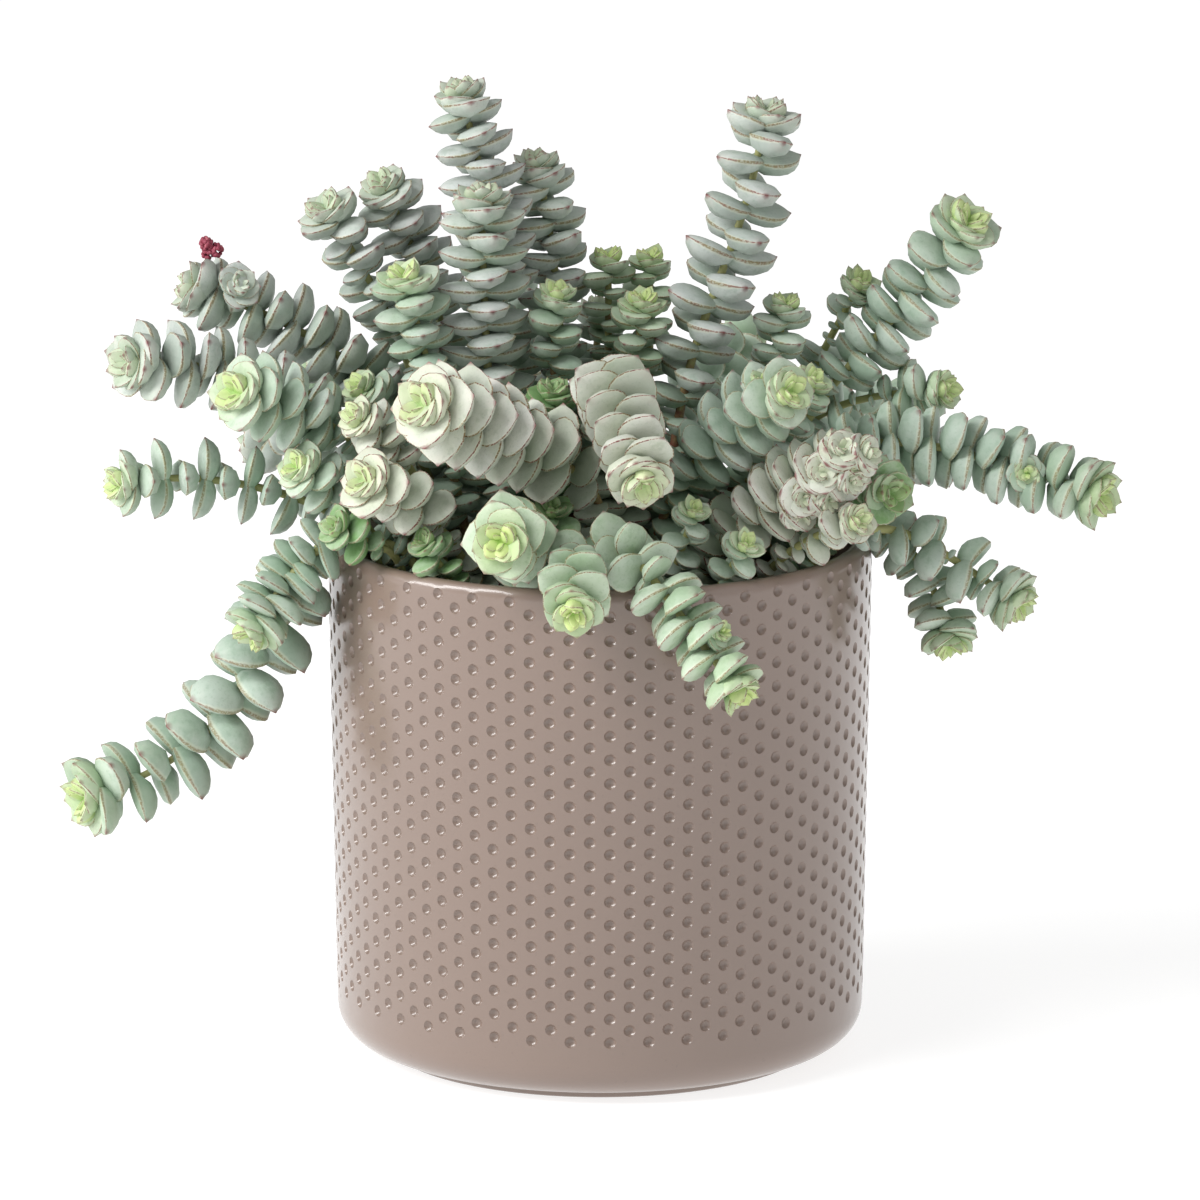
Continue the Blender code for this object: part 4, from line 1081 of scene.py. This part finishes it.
class LeafMould:
    """A leaf modelled once: a round primitive whose rings are sized and set along the leaf."""

    def __init__(self, name):
        rings = LEAF_RINGS[name]
        deselect()
        bpy.ops.mesh.primitive_uv_sphere_add(segments=LEAF_SIDES, ring_count=len(rings) + 1,
                                             radius=1.0)
        obj = bpy.context.object
        shape = edit(obj)
        levels = sorted({round(point.co.z, 4) for point in shape.verts})
        targets = [(LEAF_FOOT, 0.0, 0.0), *rings, (LEAF_POINT, 0.0, 0.0)]
        for level, (along, width, thick) in zip(levels, targets):
            shape = bmesh.from_edit_mesh(obj.data)
            select_points(obj, shape, lambda co, level=level: abs(co.z - level) < 0.001)
            round_width = math.sqrt(max(0.0, 1.0 - level * level))
            if round_width > 0.01:
                size = (thick / round_width, width / round_width, 1.0)
                bpy.ops.transform.resize(value=size, center_override=(0.0, 0.0, level))
            bpy.ops.transform.translate(value=(0.0, 0.0, along + OUT_OF_THE_WAY - level))
        bpy.ops.mesh.select_all(action="SELECT")
        bpy.ops.transform.translate(value=(0.0, 0.0, -OUT_OF_THE_WAY))
        leave_edit()
        points, self.faces = arrays(obj)
        discard(obj)
        self.curl = LEAF_CURL[name]
        self.along = points[:, 2]
        self.across = points[:, 1]
        self.up = -points[:, 0]
        # What the finish reads: the margin, the tip and the upper side, below which it paints shade
        on_margin = np.abs(self.up) < THIN_EDGE
        self.edge = on_margin.astype(float)
        self.tip = np.clip(self.along, 0.0, 1.0)
        self.upper = np.where(on_margin, 0.5, self.up > 0.0)

    def cast(self, leaf):
        """The points of one leaf, bent along its rise."""
        x = self.along * leaf.reach
        y = self.across * leaf.width * leaf.reach
        z = np.where(self.up > 0, self.up * UPPER_SHARE, self.up * (1.0 - UPPER_SHARE)) * leaf.thick
        z = z + self.curl * leaf.reach * self.across ** 2
        slope = np.arctan(2.0 * leaf.rise * np.clip(self.along, 0.0, 1.0))
        lift = leaf.rise * leaf.reach * np.clip(self.along, 0.0, 1.2) ** 2
        across = np.array(leaf.ahead.cross(leaf.direction))
        out = x - z * np.sin(slope)
        rise = lift + z * np.cos(slope)
        return (np.array(leaf.centre) + out[:, None] * np.array(leaf.direction)
                + rise[:, None] * np.array(leaf.ahead) + y[:, None] * across)


def tube(places, radii):
    """A closed round tube through places, as points and faces."""
    deselect()
    bpy.ops.curve.primitive_nurbs_path_add()
    path = bpy.context.object
    curve = path.data
    curve.splines.remove(curve.splines[0])
    spline = curve.splines.new("POLY")
    spline.points.add(len(places) - 1)
    for point, place, radius in zip(spline.points, places, radii):
        point.co = (*place, 1.0)
        point.radius = radius
    curve.dimensions = "3D"
    curve.bevel_depth = 1.0
    curve.bevel_resolution = 2
    curve.use_fill_caps = True
    bpy.ops.object.convert(target="MESH")
    obj = bpy.context.object
    points, faces = arrays(obj)
    discard(obj)
    return points, faces


def stalk_tubes(route, top_radius, stalks):
    """The stem itself, thinner towards its tip, with the short stalks of its side rosettes."""
    count = max(3, round(route.lengths[-1] / STALK_STEP))
    shares = [index / count for index in range(count + 1)]
    places = [route.at(route.lengths[-1] * share)[0] for share in shares]
    radii = [STALK_RADIUS[0] + (top_radius - STALK_RADIUS[0]) * share for share in shares]
    points, faces = tube(places, radii)
    for start, end in stalks:
        more_points, more_faces = tube([start, (start + end) / 2, end], [SIDE_STALK_RADIUS] * 3)
        faces += shifted(more_faces, len(points))
        points = np.concatenate([points, more_points])
    return points, faces


class PlantLayout:
    """Where every leaf of every stem is, worked out once for all the stems' pieces."""

    def __init__(self, thickness):
        self.moulds = {name: LeafMould(name) for name in LEAF_RINGS}
        self.routes = []
        self.leaves = []
        self.stalks = []
        for index, (stem, line) in enumerate(zip(STEMS, stem_lines())):
            draw = own_draw(PLACING, index)
            route = Route(stem, line, draw)
            pairs = stem_pairs(stem, route.lengths[-1], draw)
            own = own_draw(DRESSING, index)
            rosettes, stalks = side_rosettes(stem, route, own)
            self.routes.append(route)
            self.leaves.append(stem_leaves(stem, route, pairs, own, thickness) + rosettes)
            self.stalks.append(stalks)
        casts = [[self.cast(leaf) for leaf in leaves] for leaves in self.leaves]
        self.owners = [index for index, cast in enumerate(casts) for points in cast for _ in points]
        self.taken = tree_of(np.concatenate([points for cast in casts for points in cast]))
        self.added = []
        for index, stem in enumerate(STEMS):
            self._fill_below(index, stem, thickness)

    def cast(self, leaf):
        return self.moulds[leaf.shape].cast(leaf)

    def _fill_below(self, index, stem, thickness):
        """Older leaves down a bare stem, as large as the space between its neighbours lets them."""
        own = own_draw(FILLING, index)
        route = self.routes[index]
        first = route.lengths[-1] - sum(step for _, _, step in tip_pairs(stem))
        first -= stem.spacing * (max(1, round(stem.leafy / stem.spacing)) - 1)
        along = first - stem.spacing
        turned_pair = own.random() < 0.5
        while along > HOLE_DEPTH + FILL_START:
            pair = Pair(along, stem.reach * own.uniform(*FILL_REACH), own.uniform(*FILL_RISE),
                        turned_pair)
            thick = min(pair.reach * thickness, stem.spacing * SPACED_THICKNESS)
            for leaf in leaves_of_pair(stem, route, pair, own, "oval", thick, 0.0):
                fitted = self._fit(leaf, index)
                if fitted:
                    # More painted shade for a leaf low on the stem
                    shade = min(1.0, fitted.shade + FILL_SHADE)
                    self.leaves[index].append(fitted._replace(shade=shade))
                    self.added.append((index, self.cast(fitted)))
            turned_pair = not turned_pair
            along -= stem.spacing * own.uniform(*FILL_SPACING)

    def _fit(self, leaf, index):
        """The leaf shrunk until it is clear of other stems and the pot, or nothing."""
        full = leaf.reach
        near = [points for owner, points in self.added if owner != index
                and (Vector(points[0]) - leaf.centre).length < FILL_NEARNESS * full]
        while leaf.reach > SMALLEST_FILL * full:
            outer = self.cast(leaf)[self.moulds[leaf.shape].along > FILL_FOOT]
            if self._is_clear(outer, index, near):
                return leaf
            leaf = leaf._replace(reach=leaf.reach * FILL_SHRINK, thick=leaf.thick * FILL_SHRINK)
        return None

    def _is_clear(self, points, index, near):
        radii = np.hypot(points[:, 0], points[:, 1])
        low = points[:, 2] < POT_HEIGHT + POT_CLEARANCE
        inside_wall = radii > RIM_RADIUS - WALL - POT_CLEARANCE
        if np.any(low & inside_wall & (radii < RIM_RADIUS + POT_CLEARANCE)):
            return False
        if np.any((radii < RIM_RADIUS) & (points[:, 2] < SOIL_TOP + SOIL_CLEARANCE)):
            return False
        for others in near:
            if np.min(np.linalg.norm(points[:, None] - others[None], axis=2)) < FILL_CLEARANCE:
                return False
        for point in points:
            _, number, distance = self.taken.find(point)
            if distance < LEAF_CLEARANCE and self.owners[number] != index:
                return False
        return True


def cast_stem(layout, index, material):
    """One stem with its leaves, as one piece."""
    stem = STEMS[index]
    own = own_draw(TONING, index)
    top_radius = min(STALK_RADIUS[1], stem.reach * STALK_SHARE_OF_REACH)
    points, faces = stalk_tubes(layout.routes[index], top_radius, layout.stalks[index])
    shades = [shade_at(Vector(point)) for point in points]
    stalk_values = {"edge": 0.0, "tip": 0.0, "upper": 1.0, "young": 0.0, "shade": shades,
                    "tone": 0.5, "stalk": 1.0}
    values = {name: [np.broadcast_to(value, len(points))] for name, value in stalk_values.items()}
    blocks = [points]
    start = len(points)
    for leaf in layout.leaves[index]:
        mould = layout.moulds[leaf.shape]
        blocks.append(mould.cast(leaf))
        faces += shifted(mould.faces, start)
        start += len(mould.along)
        leaf_values = {"edge": mould.edge, "tip": mould.tip, "upper": mould.upper,
                       "young": leaf.young, "shade": leaf.shade, "tone": own.random(), "stalk": 0.0}
        for name, value in leaf_values.items():
            values[name].append(np.broadcast_to(value, len(mould.along)))
    attributes = {name: np.concatenate(parts) for name, parts in values.items()}
    crisp = attributes["edge"] > 0.5
    return piece_from(stem.name + "_leaves", np.concatenate(blocks), faces, material, attributes,
                      crisp)


def cell_sides(pitch, height):
    """Half the width of a dimple's cell at a height above its middle."""
    half = pitch / 2
    near = (half ** 2 - ROW_STEP ** 2) / (2 * half)
    far = (half ** 2 + ROW_STEP ** 2) / (2 * half)
    return far - (far - near) * abs(height) / ROW_STEP


def dimple_tile(pitch, radius, depth, heights):
    """One cell of the wall, flat: a pressed disc bridged to pairs of corners at some heights."""
    def turn(place):
        return math.atan2(place[1], place[0]) % math.tau

    deselect()
    bpy.ops.mesh.primitive_circle_add(vertices=DIMPLE_SIDES, radius=radius, fill_type="NGON")
    disc = bpy.context.object
    edit(disc)
    bpy.ops.mesh.select_all(action="SELECT")
    for width, drop in DIMPLE_STEPS:
        bpy.ops.mesh.inset(thickness=radius * width, depth=-depth * drop)
    bpy.ops.mesh.poke(offset=-depth * DIMPLE_POKE)
    leave_edit()
    deselect()
    bpy.ops.mesh.primitive_circle_add(vertices=2 * len(heights), radius=radius * 2)
    cell = bpy.context.object
    corners = [(side * cell_sides(pitch, height), height) for height in heights for side in (1, -1)]
    in_turn = sorted(cell.data.vertices, key=lambda vertex: turn(vertex.co))
    for vertex, corner in zip(in_turn, sorted(corners, key=turn)):
        vertex.co = (*corner, 0.0)
    pick(cell)
    disc.select_set(True)
    bpy.context.view_layer.objects.active = disc
    bpy.ops.object.join()
    select_border(disc, edit(disc))
    bpy.ops.mesh.bridge_edge_loops()
    close_outwards()
    points, faces = arrays(disc)
    discard(disc)
    return points, faces


def lip_filler(pitch, heights):
    """The plain half cell between two cells of the top row."""
    points = [(side * (pitch / 2 - cell_sides(pitch, height)), height, 0.0)
              for height in heights for side in (-1, 1)]
    faces = [(low, low + 1, low + 3, low + 2) for low in range(0, len(points) - 2, 2)]
    return np.array(points), faces


def wall_place(height):
    """The radius, height and outward slope of the wall at a height along it, over the lip too."""
    straight_end = POT_HEIGHT - OUTER_LIP
    if height <= straight_end:
        slope = (RIM_RADIUS - BASE_RADIUS) / (POT_HEIGHT - BASE_CORNER)
        return RIM_RADIUS - (straight_end - height) * slope, height, 0.0
    angle = (height - straight_end) / OUTER_LIP
    radius = RIM_RADIUS - OUTER_LIP + OUTER_LIP * math.cos(angle)
    return radius, straight_end + OUTER_LIP * math.sin(angle), angle


def wrap_tile(points, column_angle, row_height):
    """A tile's points round the wall at its place."""
    wrapped = []
    for x, y, depth in points:
        radius, height, angle = wall_place(row_height + y)
        wrapped.append(on_ring(radius + depth * math.cos(angle), column_angle + x / LATTICE_RADIUS,
                               height + depth * math.sin(angle)))
    return wrapped


def ring_arc(centre, radius, start, end, steps):
    """Points on an arc of a profile, from one angle in degrees to another, without its start."""
    angles = [math.radians(start + (end - start) * (i + 1) / steps) for i in range(steps)]
    return [(centre[0] + radius * math.cos(angle), centre[1] + radius * math.sin(angle))
            for angle in angles]


def inner_radius(height):
    """The radius of the pot's inner wall at a height above its corner."""
    lowest = FLOOR_THICKNESS + INNER_CORNER
    share = (height - lowest) / (POT_HEIGHT - WALL / 2 - lowest)
    return BASE_RADIUS - WALL + share * (RIM_RADIUS - BASE_RADIUS)


def crisp_dimples(obj):
    """Marks the edge of each dimple sharp."""
    shape = edit(obj)
    depth = shape.verts.layers.float["hollow"]
    for seam in shape.edges:
        sides = {max(corner[depth] for corner in face.verts) > FLAT for face in seam.link_faces}
        seam.smooth = len(sides) < 2
    bmesh.update_edit_mesh(obj.data)
    leave_edit()


def grow_rim(obj, profile, top):
    """Grows the wall's open top or bottom edge along a profile, and closes it."""
    select_border(obj, edit(obj), lambda border: top == (
        sum(point.co.z for point in border.verts) / 2 > POT_HEIGHT / 2))
    grow_rings(obj, profile)
    leave_edit()


def wall_of_dimples(settings):
    """The wall, cell by cell, and how deep each of its points lies in a dimple, from 0 to 1."""
    pitch = math.tau * LATTICE_RADIUS / settings.columns
    size = (settings.dimple_radius / MM, settings.dimple_depth / MM)
    shoulder = POT_HEIGHT - OUTER_LIP - TOP_ROW
    plain = dimple_tile(pitch, *size, (ROW_STEP, 0.0, -ROW_STEP))
    under_lip = dimple_tile(pitch, *size, (ROW_STEP, shoulder, 0.0, -ROW_STEP))
    filler = lip_filler(pitch, (0.0, shoulder, ROW_STEP))
    points = []
    faces = []
    hollow = []
    deepest = -plain[0][:, 2].min()
    cells = [(under_lip, 0, 0.0), (filler, 0, 0.5)]
    cells += [(plain, row, 0.5 * (row % 2)) for row in range(1, settings.rows)]
    for (tile, tile_faces), row, shift in cells:
        for column in range(settings.columns):
            faces += shifted(tile_faces, len(points))
            points += wrap_tile(tile, math.tau * (column + shift) / settings.columns,
                                TOP_ROW - ROW_STEP * row)
            hollow += [-depth / deepest for depth in tile[:, 2]]
    return points, faces, hollow


def inner_profile():
    """The rings from the top of the wall over the lip and down inside to the floor."""
    floor_corner = FLOOR_THICKNESS + INNER_CORNER
    inner_lip = WALL - OUTER_LIP
    middle = RIM_RADIUS - OUTER_LIP
    return (ring_arc((middle, POT_HEIGHT - OUTER_LIP), OUTER_LIP, WALL_ON_LIP, 90, 2)
            + ring_arc((middle, POT_HEIGHT - inner_lip), inner_lip, 90, 180, 8)
            + [(inner_radius(height), height) for height in (*INNER_WALL_HEIGHTS, floor_corner)]
            + ring_arc((inner_radius(floor_corner) - INNER_CORNER, floor_corner), INNER_CORNER,
                       0, -90, 5)
            + [(CENTRE_RING, FLOOR_THICKNESS)])


def outer_profile():
    """The rings from the bottom of the wall round its corner and under the foot."""
    corner = FOOT_HEIGHT + BASE_CORNER
    sole = FOOT_RADIUS - FOOT_TAPER
    return ([(BASE_RADIUS, WALL_START), (BASE_RADIUS, corner)]
            + ring_arc((BASE_RADIUS - BASE_CORNER, corner), BASE_CORNER, 0, -90, 9)
            + [(FOOT_RADIUS + FOOT_ROUNDING, FOOT_HEIGHT),
               (FOOT_RADIUS, FOOT_HEIGHT - FOOT_ROUNDING),
               (FOOT_RADIUS - FOOT_TAPER * TAPER_AT_SOLE, SOLE_ROUNDING),
               (sole - SOLE_ROUNDING, 0.0), (CENTRE_RING, 0.0)])


def model_pot(settings):
    """The wall of dimples, with its lip, inside, corner and foot grown from the wall's edges."""
    points, faces, hollow = wall_of_dimples(settings)
    pot = piece_from("dimpled_pot", points, faces, glaze_finish(settings), {"hollow": hollow})
    rescale(pot, 1.0 / MM)
    edit(pot)
    bpy.ops.mesh.select_all(action="SELECT")
    bpy.ops.mesh.remove_doubles(threshold=WELD)
    leave_edit()
    grow_rim(pot, inner_profile(), top=True)
    grow_rim(pot, outer_profile(), top=False)
    edit(pot)
    close_outwards()
    rescale(pot, MM)
    pot.data.shade_smooth()
    crisp_dimples(pot)
    return pot


def soil_height(radius):
    """The smooth height of the bed at a distance from the axis."""
    edge = inner_radius(SOIL_TOP - SOIL_DROP_AT_WALL)
    share = min(1.0, radius / edge)
    if share < SOIL_SHOULDER:
        return SOIL_TOP - SOIL_DROP_AT_SHOULDER * (share / SOIL_SHOULDER) ** 2
    past = (share - SOIL_SHOULDER) / (1.0 - SOIL_SHOULDER)
    return SOIL_TOP - SOIL_DROP_AT_SHOULDER - (SOIL_DROP_AT_WALL - SOIL_DROP_AT_SHOULDER) * past


def model_soil_bed(material):
    """The bed: a disc inset ring by ring, domed, roughened, and closed down the wall."""
    edge = inner_radius(SOIL_TOP - SOIL_DROP_AT_WALL) - GAP
    deselect()
    bpy.ops.mesh.primitive_circle_add(vertices=SOIL_SIDES, radius=edge, fill_type="NGON")
    bed = bpy.context.object
    edit(bed)
    bpy.ops.mesh.select_all(action="SELECT")
    for _ in range(SOIL_RINGS):
        bpy.ops.mesh.inset(thickness=edge / (SOIL_RINGS + 2))
    bpy.ops.mesh.poke()
    leave_edit()
    for vertex in bed.data.vertices:
        vertex.co.z = soil_height(math.hypot(vertex.co.x, vertex.co.y)) - SOIL_SINK
    lumps = bpy.data.textures.new("soil_lumps", "CLOUDS")
    lumps.noise_scale = LUMP_SIZE
    lumps.noise_depth = 4
    rough = bed.modifiers.new("roughen", "DISPLACE")
    rough.texture = lumps
    rough.direction = "Z"
    rough.strength = LUMP_HEIGHT
    pick(bed)
    bpy.ops.object.modifier_apply(modifier=rough.name)
    select_border(bed, edit(bed))
    side_foot = FLOOR_THICKNESS + INNER_CORNER
    grow_rings(bed, ((edge, SOIL_SIDE_TOP), (inner_radius(side_foot) - GAP, side_foot),
                     (CENTRE_RING, FLOOR_THICKNESS + GAP)))
    close_outwards()
    bed.name = "soil_bed"
    bed.data.materials.append(material)
    rescale(bed, MM)
    bed.data.shade_smooth()
    return bed


def lump_mould(draw, uneven):
    """A small uneven lump, modelled once."""
    deselect()
    bpy.ops.mesh.primitive_ico_sphere_add(subdivisions=2, radius=1.0)
    lump = bpy.context.object
    points, faces = arrays(lump)
    discard(lump)
    sizes = np.array([draw.uniform(1.0 - uneven, 1.0) for _ in range(len(points))])
    return points * sizes[:, None], faces


def scatter(name, mould, placings, material):
    """One piece of many lumps, each turned, sized and placed by its own numbers."""
    shape, shape_faces = mould
    blocks = []
    faces = []
    for number, (place, sizes, turns) in enumerate(placings):
        turn = np.array(Matrix.Rotation(turns[0], 3, "X") @ Matrix.Rotation(turns[1], 3, "Z"))
        blocks.append((shape * np.array(sizes)) @ turn.T + np.array(place))
        faces += shifted(shape_faces, number * len(shape))
    return piece_from(name, np.concatenate(blocks), faces, material)


def crumb_placings(count, draw):
    """Crumbs all over the bed, most of them small."""
    edge = inner_radius(SOIL_TOP) - CRUMBS_OFF_WALL
    placings = []
    for _ in range(count):
        radius = edge * math.sqrt(draw.random())
        turn = draw.uniform(0.0, math.tau)
        size = SMALLEST_CRUMB + CRUMB_SPREAD * draw.random() ** CRUMB_SKEW
        place = on_ring(radius, turn, soil_height(radius) + CRUMB_LIFT + size * CRUMB_SHOWING)
        sizes = [size * draw.uniform(*CRUMB_SIDES) for _ in range(3)]
        placings.append((place, sizes, (draw.uniform(*ANY_TURN), draw.uniform(*ANY_TURN))))
    return placings


def bud_placings(count, draw):
    """Small round buds all over the solid head of buds."""
    mesh = frame["nodes"]["flower_buds"].data
    corners = [[mesh.vertices[index].co / MM for index in face.vertices] for face in mesh.polygons]
    areas = [face.area for face in mesh.polygons]
    placings = []
    for a, b, c in draw.choices(corners, areas, k=count):
        first, second = sorted((draw.random(), draw.random()))
        place = a * first + b * (second - first) + c * (1.0 - second)
        size = draw.uniform(*BUD_SIZE)
        placings.append((place, (size, size, size * draw.uniform(*BUD_STRETCH)),
                         (draw.uniform(-BUD_LEAN, BUD_LEAN), draw.uniform(*ANY_TURN))))
    return placings


class JADE_OT_pot(Operator):
    """Models the pot with its pressed dimples, lip and foot"""
    bl_idname = "jade.pot"
    bl_label = "Dimpled pot"

    def execute(self, context):
        pot = model_pot(context.scene.jade_pot)
        put_in_place(pot, "glaze", "pot")
        return {"FINISHED"}


class JADE_OT_soil(Operator):
    """Models the soil bed and the crumbs on it"""
    bl_idname = "jade.soil"
    bl_label = "Soil"

    def execute(self, context):
        settings = context.scene.jade_soil
        material = soil_finish(settings)
        bed = model_soil_bed(material)
        put_in_place(bed, "soil", "soil")
        draw = random.Random(SEED + 1)
        crumbs = scatter("soil_crumbs", lump_mould(draw, CRUMB_UNEVEN),
                         crumb_placings(settings.crumbs, draw), material)
        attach(crumbs, "root")
        return {"FINISHED"}


class JADE_OT_stems(Operator):
    """Models every leafy stem, one piece for each stem of the solids"""
    bl_idname = "jade.stems"
    bl_label = "Leafy stems"

    def execute(self, context):
        settings = context.scene.jade_leaves
        finishes = {}
        for skin, strengths in LEAF_FINISHES.items():
            name = skin + "_leaf"
            finishes[name] = leaf_finish(name, tuple(getattr(settings, skin)), settings, *strengths)
        slots = {part["node"]: part["material_slot"] for part in frame["record"]["subparts"]}
        layout = PlantLayout(settings.thickness)
        for index, stem in enumerate(STEMS):
            piece = cast_stem(layout, index, finishes[slots[stem.name]])
            put_in_place(piece, slots[stem.name], stem.name)
        return {"FINISHED"}


class JADE_OT_buds(Operator):
    """Models the crimson head of flower buds"""
    bl_idname = "jade.buds"
    bl_label = "Flower buds"

    def execute(self, context):
        settings = context.scene.jade_buds
        draw = random.Random(SEED + 2)
        buds = scatter("crimson_buds", lump_mould(draw, BUD_UNEVEN),
                       bud_placings(settings.granules, draw), bud_finish(settings))
        put_in_place(buds, "buds", "flower_buds")
        return {"FINISHED"}


class JADE_OT_studio(Operator):
    """Sets the camera, the soft lights and the pale floor"""
    bl_idname = "jade.studio"
    bl_label = "Studio"

    def execute(self, context):
        settings = context.scene.jade_studio
        self._camera(context, settings)
        self._world(context, settings)
        self._light("key_light", *KEY_LIGHT, settings.key_power)
        self._light("fill_light", *FILL_LIGHT, settings.key_power * FILL_SHARE)
        deselect()
        bpy.ops.mesh.primitive_plane_add(size=FLOOR_SIZE)
        floor = bpy.context.object
        floor.name = "floor"
        floor.data.materials.append(floor_finish())
        context.scene.view_settings.view_transform = "Standard"
        return {"FINISHED"}

    def _camera(self, context, settings):
        tilt = settings.elevation
        up = Vector((0.0, math.sin(tilt), math.cos(tilt)))
        away = Vector((0.0, -math.cos(tilt), math.sin(tilt)))
        place = up * VIEW_LIFT * settings.pixel + away * settings.distance
        bpy.ops.object.camera_add(location=place, rotation=(math.pi / 2 - tilt, 0.0, 0.0))
        camera = bpy.context.object
        camera.data.sensor_width = FILM_WIDTH
        camera.data.lens = FILM_WIDTH * settings.distance / (VIEW_WIDTH * settings.pixel)
        camera.data.clip_end = VIEW_REACH
        context.scene.camera = camera

    def _world(self, context, settings):
        world = bpy.data.worlds.new("white_room")
        world.use_nodes = True
        nodes = world.node_tree.nodes
        links = world.node_tree.links
        background = nodes["Background"]
        background.inputs["Color"].default_value = (1.0, 1.0, 1.0, 1.0)
        seen = nodes.new("ShaderNodeLightPath").outputs["Is Camera Ray"]
        strength = nodes.new("ShaderNodeMapRange")
        links.new(seen, strength.inputs["Value"])
        strength.inputs["To Min"].default_value = settings.sky
        strength.inputs["To Max"].default_value = BACKDROP
        links.new(strength.outputs["Result"], background.inputs["Strength"])
        context.scene.world = world

    def _light(self, name, place, size, roll, power):
        """A soft panel aimed at the plant, rolled about its aim by a number of degrees."""
        aim = LIGHTS_AIM - Vector(place)
        turn = aim.to_track_quat("-Z", "Y") @ Quaternion((0.0, 0.0, 1.0), math.radians(roll))
        bpy.ops.object.light_add(type="AREA", location=place, rotation=turn.to_euler())
        light = bpy.context.object
        light.name = name
        light.data.energy = power
        light.data.shape = "RECTANGLE"
        light.data.size, light.data.size_y = size
        light.visible_camera = False


class JADE_PT_panel(Panel):
    """Lists the pieces in the sidebar, with their sizes and colours"""
    bl_label = "Potted jade necklace"
    bl_idname = "JADE_PT_panel"
    bl_space_type = "VIEW_3D"
    bl_region_type = "UI"
    bl_category = "Jade"

    def draw(self, context):
        for operator, name, _ in PIECES:
            box = self.layout.box()
            box.operator(operator.bl_idname)
            settings = getattr(context.scene, name)
            for key in settings.bl_rna.properties.keys():
                if key not in ("rna_type", "name"):
                    box.prop(settings, key)


# Each piece's operator, and the name and kind of its settings on the scene
PIECES = (
    (JADE_OT_pot, "jade_pot", PotSettings),
    (JADE_OT_soil, "jade_soil", SoilSettings),
    (JADE_OT_stems, "jade_leaves", LeafSettings),
    (JADE_OT_buds, "jade_buds", BudSettings),
    (JADE_OT_studio, "jade_studio", StudioSettings),
)


def register():
    for operator, name, settings in PIECES:
        bpy.utils.register_class(settings)
        setattr(bpy.types.Scene, name, PointerProperty(type=settings))
        bpy.utils.register_class(operator)
    bpy.utils.register_class(JADE_PT_panel)


def unregister():
    bpy.utils.unregister_class(JADE_PT_panel)
    for operator, name, settings in reversed(PIECES):
        bpy.utils.unregister_class(operator)
        delattr(bpy.types.Scene, name)
        bpy.utils.unregister_class(settings)


def main():
    register()
    bpy.ops.jade.pot()
    bpy.ops.jade.soil()
    bpy.ops.jade.stems()
    bpy.ops.jade.buds()
    bpy.ops.jade.studio()


if __name__ == "__main__":
    main()
